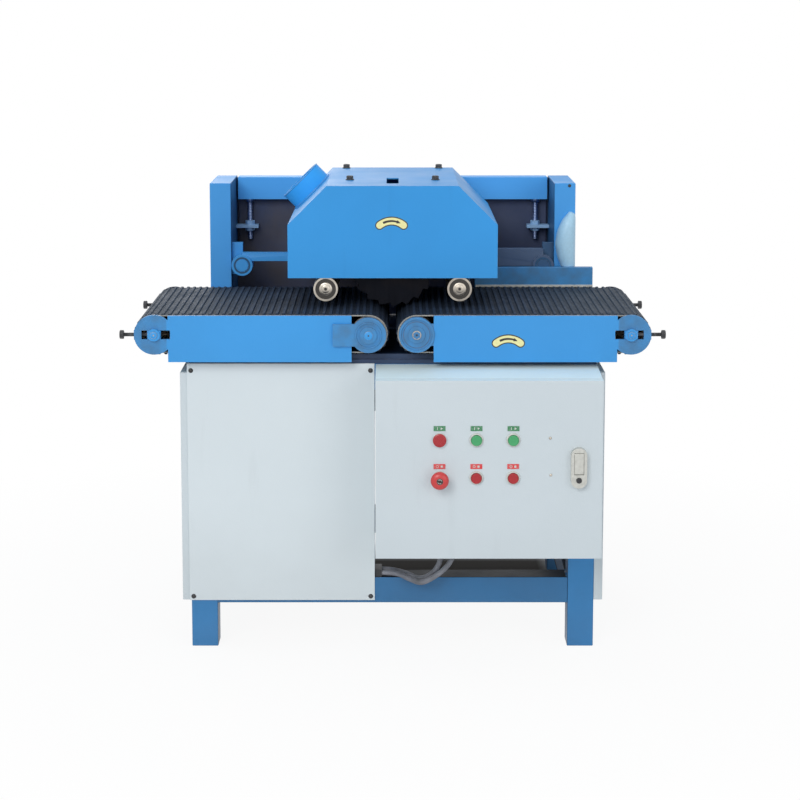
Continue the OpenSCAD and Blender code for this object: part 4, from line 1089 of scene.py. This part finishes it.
class RIPSAW_OT_labels(bpy.types.Operator):
    """Yellow arc labels on the hood and on the outfeed plate, each with a plain turning mark"""

    bl_idname = "rip_saw.labels"
    bl_label = "Labels"

    spots = {
        "hood_label": ([-0.0023, HOOD_FRONT, 0.9770], "head"),
        "outfeed_label": ([0.2590, PLATE_FRONT, 0.7230], "base"),
    }
    half_angle = math.radians(40)
    border = 0.0024

    def execute(self, context):
        width = context.scene.rip_saw_detail.label_width
        half = width / 9
        radius = (width / 2 - half) / math.sin(self.half_angle)
        layers = (("_border", self.arc_band(radius, half + self.border), 0.0003, "ink"),
                  ("", self.arc_band(radius, half), 0.0005, "label"),
                  ("_mark", self.turning_mark(radius), 0.0006, "ink"))
        for name, (crown, body) in self.spots.items():
            for end, outline, depth, key in layers:
                piece(name + end, [decal(outline - [0, radius], crown, depth)], key, body)
        return {"FINISHED"}

    def arc_band(self, radius, half):
        """Outline of a band along an upright arc with round ends."""
        t = np.linspace(self.half_angle, -self.half_angle, 24) + TURN / 4
        cap = np.linspace(0, math.pi, 9)[1:-1]
        right_end = radius * ray(t[-1]) + half * ray(t[-1] - cap)
        left_end = radius * ray(t[0]) + half * ray(t[0] + math.pi - cap)
        return np.vstack([ray(t) * (radius + half), right_end, ray(t[::-1]) * (radius - half), left_end])

    def turning_mark(self, radius):
        """Arc that thins from its left end and widens into a pointed head on its right."""
        s = np.linspace(0, 1, 30)
        half = np.where(s < 0.76, 0.0026 - 0.0008 * s, 0.0042 * (1 - s) / 0.24 + 0.0001)
        return arc_ribbon(np.linspace(math.radians(117), math.radians(61), 30), radius, half)


def wheel_loop(centres, radius, steps=400):
    """Even points on the loop round equal wheels: each side runs straight, and each wheel takes an arc."""
    c = np.asarray(centres, float)
    side = np.roll(c, -1, 0) - c
    out = np.arctan2(-side[:, 0], side[:, 1])
    before = np.roll(out, 1)
    turn = (out - before) % TURN
    a = before[:, None] + turn[:, None] * np.linspace(0, 1, 24)[None]
    loop = closed((c[:, None] + radius * ray(a)).reshape(-1, 2))
    run = np.concatenate([[0], np.cumsum(np.linalg.norm(np.diff(loop, axis=0), axis=1))])
    at = np.linspace(0, run[-1], steps, endpoint=False)
    return np.stack([np.interp(at, run, loop[:, k]) for k in (0, 1)], 1), run[-1]


class RIPSAW_OT_drive(bpy.types.Operator):
    """Roller chain, shaft ends, hub nuts, bearing lines and the press rollers' end caps"""

    bl_idname = "rip_saw.drive"
    bl_label = "Drive"

    chain_pitch = 0.0127
    dimple_cap = mm((0, -0.5), (1.5, -0.5), (1.9, 1.2), (8.6, 1.2), (9.8, 0.4), (9.8, -0.5), (0, -0.6))
    idler_cap = mm((0, -0.3), (1.4, -0.3), (1.8, 0.9), (6.6, 0.9), (7.7, 0.2), (7.7, -0.5), (0, -0.6))
    hub_nut = mm((0, 1.2), (3.6, 1.2), (4.0, 4.0), (7.0, 4.0), (8.6, 3.0), (8.6, -0.5), (0, -0.6))
    press_cap = mm((0, 1.4), (3.4, 1.4), (3.8, 2.2), (8.4, 2.2), (9.4, 1.7), (9.4, 1.3), (14.0, 1.3),
                   (14.6, 0.8), (14.6, -0.5), (0, -0.5))
    press_hole = mm((0, 1.7), (3.1, 1.7), (3.3, 1.3), (0, 1.3))
    dimple = mm((0, 0.2), (2.0, 0.2), (2.2, -0.2), (0, -0.2))
    press_groove = band(14.9, 23.6, 0.3)
    bearing_line = band(29.0, 30.3, 0.25)
    pivot_line = band(16.0, 20.4, 0.25)
    # Distances before the side plates: centre hole and bearing cover of each drive shaft, then the caps
    shaft_ends = {"infeed": (0.0137, 0.008), "outfeed": (0.0062, 0.0)}
    shaft_cap_out, hub_nut_out, idler_cap_out = 0.013, 0.005, 0.009
    hub_nut_flats = 0.0150
    link_width, link_corner, link_thick = 0.0072, 0.0034, 0.0012
    link_shifts = (0.0048, 0.0036)

    def execute(self, context):
        self.chain()
        cap = [-DRIVE_X, PLATE_FRONT - self.shaft_cap_out, ROLLER_Z]
        lathed("infeed_shaft_cap", self.dimple_cap, [cap], FRONT, 40, "blue", "infeed_drive")
        nut, rule = [DRIVE_X, PLATE_FRONT - self.hub_nut_out, ROLLER_Z], hexagon(self.hub_nut_flats)
        lathed("outfeed_hub_nut", self.hub_nut, [nut], FRONT, 48, "worn", "outfeed_drive", rule)
        faces = ((PLATE_FRONT - self.idler_cap_out, FRONT), (PLATE_BACK + self.idler_cap_out, Y_AXIS))
        for side, name in FEEDS:
            self.shaft_marks(side, name)
        for side, name in FEEDS:
            ends = [turned(self.idler_cap, [side * IDLER_X, y, ROLLER_Z], axis, 36) for y, axis in faces]
            piece(name + "_idler_caps", ends, "blue", name + "_idler")
            end = middle(name + "_press_roller")
            end[1] = low(name + "_press_roller")[1]
            arm, roller = name + "_arm", name + "_presser"
            lathed(name + "_press_cap", self.press_cap, [end], FRONT, 48, "steel", arm)
            lathed(name + "_press_centre", self.press_hole, [end], FRONT, 28, "ink", arm)
            lathed(name + "_press_groove", self.press_groove, [end], FRONT, 48, "ink", roller)
        return {"FINISHED"}

    def shaft_marks(self, side, name):
        """Centre hole of a drive shaft and the joints at bearing, cover and pivot, as thin dark rings."""
        hole, face = ([side * DRIVE_X, PLATE_FRONT - out, ROLLER_Z] for out in self.shaft_ends[name])
        boss = [side * PIVOT_X, ARM_FRONT, PIVOT_Z]
        lathed(name + "_centre_hole", self.dimple, [hole], FRONT, 24, "ink", name + "_drive")
        lathed(name + "_bearing_line", self.bearing_line, [face], FRONT, 64, "outfeed_press_arm", "base")
        lathed(name + "_pivot_line", self.pivot_line, [boss], FRONT, 56, "line", name + "_arm")

    def chain(self):
        """Links on the loop round the three chain wheels: paired plates and a roller at each pitch."""
        mid = middle("feed_chain")[1]
        centres = [(DRIVE_X, ROLLER_Z), (-DRIVE_X, ROLLER_Z), (0, middle("motor_sprocket")[2])]
        radius = high("feed_chain")[0] - DRIVE_X - 0.003
        links = round(wheel_loop(centres, radius)[1] / self.chain_pitch / 2) * 2
        points, _ = wheel_loop(centres, radius, links)
        pin = mm((0, -5.2), (2.9, -5.2), (2.9, 5.2), (0, 5.2))
        parts = []
        for k, (p, q) in enumerate(zip(points, np.roll(points, -1, 0))):
            step = np.linalg.norm(q - p)
            x, z = (q - p) / step
            plate = rounded(step + self.link_width, self.link_width, self.link_corner, 3)
            across, up = np.array([x, 0, z]), np.array([-z, 0, x])
            for way in (-1, 1):
                y = mid + way * self.link_shifts[k % 2] + self.link_thick / 2
                start = [(p[0] + q[0]) / 2, y, (p[1] + q[1]) / 2]
                parts.append(slab(plate, start, across, up, self.link_thick))
            parts.append(turned(pin, [p[0], mid, p[1]], Y_AXIS, 12))
        piece("roller_chain", parts, "plate", "base", "feed_chain")


class RIPSAW_OT_motors(bpy.types.Operator):
    """Fan grilles, terminal box lid and bare rating plate of the motors"""

    bl_idname = "rip_saw.motors"
    bl_label = "Motors"

    lid_screw = mm((0, 1.8), (1.8, 1.7), (3.2, 0.9), (3.5, 0), (0, 0))
    rivet = mm((0, 1.4), (1.4, 1.2), (1.9, 0.6), (1.9, 0), (0, 0))
    corners = [(a, b) for a in (-1, 1) for b in (-1, 1)]
    wire, bar, wire_height = 0.0017, 0.0016, 0.0022

    def execute(self, context):
        self.grille("main_motor", "saw_blades", (0.022, 0.036, 0.050, 0.064, 0.078), 0.086, "head")
        self.grille("feed_motor", "motor_sprocket", (0.016, 0.028, 0.040), 0.050, "base")
        top, y = high("main_motor")[2], low("main_motor")[1] + 0.120
        lid = slab(rounded(0.112, 0.102, 0.006), [0, y, top], X_AXIS, Y_AXIS, 0.003)
        piece("terminal_lid", [lid], "iron", "head", ease=0.0008)
        spots = [[a * 0.048, y + b * 0.043, top + 0.003] for a, b in self.corners]
        lathed("terminal_lid_screws", self.lid_screw, spots, Z_AXIS, 24, "zinc", "head")
        z = top - 0.017
        parts = [slab(rounded(0.060, 0.026, 0.002), [0.055, y, z], Y_AXIS, Z_AXIS, 0.0008)]
        for a, b in self.corners:
            parts.append(turned(self.rivet, [0.0555, y + a * 0.026, z + b * 0.009], X_AXIS, 16))
        piece("rating_plate_blank", parts, "zinc", "head")
        return {"FINISHED"}

    def grille(self, motor, axis_node, radii, rim, body):
        """Rings and bars in front of a dark fan opening at a motor's rear."""
        name = motor + "_grille"
        centre = np.array([0, high(motor)[1], middle(axis_node)[2]])
        disc = [(0, 0.0006), (rim - 0.004, 0.0006), (rim - 0.004, 0), (0, 0)]
        lathed(name + "_opening", disc, [centre], Y_AXIS, 64, "gasket", body)
        wire = closed(ring(self.wire, 8)) + [0, self.wire_height]
        parts = [turned(wire + [r, 0], centre, Y_AXIS, 72) for r in (*radii, rim - 0.002)]
        small = radii[0]
        hub = [(0, 0.0042), (small * 0.5, 0.0040), (small * 0.7, 0.0028), (small * 0.7, 0), (0, 0)]
        parts.append(turned(hub, centre, Y_AXIS, 40))
        for x, z in ray(np.arange(8) * TURN / 8):
            ends = [centre + [r * x, self.wire_height, r * z] for r in (small * 0.6, rim - 0.002)]
            parts.append(carried(ends, ring(self.bar, 8), Y_AXIS))
        piece(name, parts, "iron", body)


class RIPSAW_OT_cabinet(bpy.types.Operator):
    """Door gasket, mounting rail and terminal screws inside the cabinet, and domed gland nuts below it"""

    bl_idname = "rip_saw.cabinet"
    bl_label = "Cabinet"

    rail = mm((-17.5, 0), (17.5, 0), (17.5, 1), (12.5, 1), (12.5, 7.5), (-12.5, 7.5), (-12.5, 1), (-17.5, 1))
    screw = mm((0, 1.2), (3.4, 1.2), (4.0, 0.7), (4.0, -0.4), (0, -0.4))
    gland = closed(mm((7.2, -6), (9.6, -4.6), (11.4, -1.5), (11.6, 0.4), (7.2, 0.4)))

    def execute(self, context):
        lo, hi = low("cabinet_door"), high("cabinet_door")
        x, _, z = middle("cabinet_door")
        loop = rounded(hi[0] - lo[0] - 0.034, hi[2] - lo[2] - 0.034, 0.006, 4)
        path = [[x + a, lo[1] + 0.0055, z + b] for a, b in loop]
        strip = carried(path, rounded(0.010, 0.0068, 0.0026, 4), Y_AXIS, loop=True)
        piece("door_gasket", [strip], "gasket", "door")

        lo, hi = low("contactors"), high("contactors")
        start = [lo[0] - 0.05, hi[1] - 0.0002, middle("contactors")[2]]
        rail = slab(self.rail, start, Z_AXIS, FRONT, hi[0] - lo[0] + 0.10)
        piece("mounting_rail", [rail], "zinc", "base")
        step = (hi[0] - lo[0] - 0.060) / 2
        spots = [[lo[0] + 0.030 + k * step + j * 0.018, lo[1] + 0.015, z]
                 for k in range(3) for j in (-1, 0, 1) for z in (lo[2] + 0.010, hi[2] - 0.010)]
        lathed("contactor_screws", self.screw, spots, FRONT, 20, "zinc", "base")

        z = low("cabinet_body")[2] - 0.018
        spots = [[x, FRAME_FRONT - 0.055, z] for x in (0.112, 0.138)]
        lathed("gland_dome_nuts", self.gland, spots, Z_AXIS, 40, "black", "base")
        return {"FINISHED"}


class RIPSAW_OT_covers(bpy.types.Operator):
    """Pale moulded cover and screw of the right post, guide strips of the head and the fence's wear strip"""

    bl_idname = "rip_saw.covers"
    bl_label = "Covers"

    screw = mm((0, 0.4), (1.6, 0.4), (2.0, 1.2), (3.6, 1.0), (4.0, 0), (0, 0))
    strip_width, strip_depth, strip_gap = 0.016, 0.009, 0.004

    def execute(self, context):
        piece("pale_shell", [self.shell()], "pale", "base", "post_cover", angle=60)
        spot = [POST_HIGH[0] - 0.015, POST_LOW[1], POST_HIGH[2] - 0.006]
        lathed("post_screw", self.screw, [spot], FRONT, 28, "oxide", "base")
        y = high("head_plate")[1] + 0.0015
        z1, z2 = POST_LOW[2] + self.strip_gap, POST_HIGH[2] - self.strip_gap
        strips = [block([x, y, z1], [x + self.strip_width, y + self.strip_depth, z2])
                  for x in (POST_INNER - self.strip_width, -POST_INNER)]
        piece("guide_strips", strips, "plate", "base", ease=0.0008)
        lo, hi = low("outfeed_fence"), high("outfeed_fence")
        wear = block([lo[0] + 0.002, lo[1] - 0.0015, lo[2] + 0.001], [hi[0], lo[1], lo[2] + 0.007])
        piece("fence_wear_strip", [wear], "zinc", "base", ease=0.0004)
        return {"FINISHED"}

    def shell(self):
        """Upright shell: its right edge runs straight and its left edge bulges, by height; across, a flat
        back and a front that rises as a power of a sine."""
        lo, hi = low("post_cover"), high("post_cover")
        w, d, h = hi - lo
        t = np.linspace(0, 1, 40)
        width = np.interp(t, (0, 0.15, 0.40, 0.65, 0.85, 0.95, 1), (0.72, 0.88, 1.0, 0.90, 0.66, 0.45, 0.12))
        inset = np.interp(t, (0, 0.90, 0.97, 1), (0, 0, 0.05, 0.20))
        right = hi[0] - w * inset
        left = hi[0] - w * (inset + width * (1 - inset))
        left = np.convolve(np.pad(left, 2, mode="edge"), np.ones(5) / 5, mode="valid")
        deep = np.sqrt(np.clip(1 - (np.abs(t - 0.4) / 0.62) ** 3, 0.02, None))[:, None]
        a = np.linspace(0, math.pi, 29)[None]
        x = (right + left)[:, None] / 2 + (right - left)[:, None] / 2 * np.cos(a)
        y = hi[1] - d * deep * np.clip(np.sin(a), 0, None) ** 0.8
        z = np.repeat((lo[2] + h * t)[:, None], a.shape[1], 1)
        return tube(np.stack([x, y, z], -1))


class RIPSAW_PT_panel(bpy.types.Panel):
    """Lists the saw's finishes, sizes and operators"""

    bl_idname = "RIPSAW_PT_panel"
    bl_label = "Multi rip saw"
    bl_space_type = "VIEW_3D"
    bl_region_type = "UI"
    bl_category = "Rip saw"

    def draw(self, context):
        for group in (context.scene.rip_saw_finish, context.scene.rip_saw_detail):
            for key in group.__annotations__:
                self.layout.prop(group, key)
        for cls in OPERATORS:
            self.layout.operator(cls.bl_idname)


OPERATORS = (
    RIPSAW_OT_stage,
    RIPSAW_OT_cables,
    RIPSAW_OT_paint,
    RIPSAW_OT_controls,
    RIPSAW_OT_fasteners,
    RIPSAW_OT_welds,
    RIPSAW_OT_labels,
    RIPSAW_OT_drive,
    RIPSAW_OT_motors,
    RIPSAW_OT_cabinet,
    RIPSAW_OT_covers,
)
CLASSES = (RipSawFinish, RipSawDetail, *OPERATORS, RIPSAW_PT_panel)


def register():
    for cls in CLASSES:
        bpy.utils.register_class(cls)
    bpy.types.Scene.rip_saw_finish = PointerProperty(type=RipSawFinish)
    bpy.types.Scene.rip_saw_detail = PointerProperty(type=RipSawDetail)


def unregister():
    del bpy.types.Scene.rip_saw_detail
    del bpy.types.Scene.rip_saw_finish
    for cls in reversed(CLASSES):
        bpy.utils.unregister_class(cls)


def main():
    """Registers the add-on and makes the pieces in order."""
    register()
    for cls in OPERATORS:
        group, name = cls.bl_idname.split(".")
        getattr(getattr(bpy.ops, group), name)()


if __name__ == "__main__":
    main()
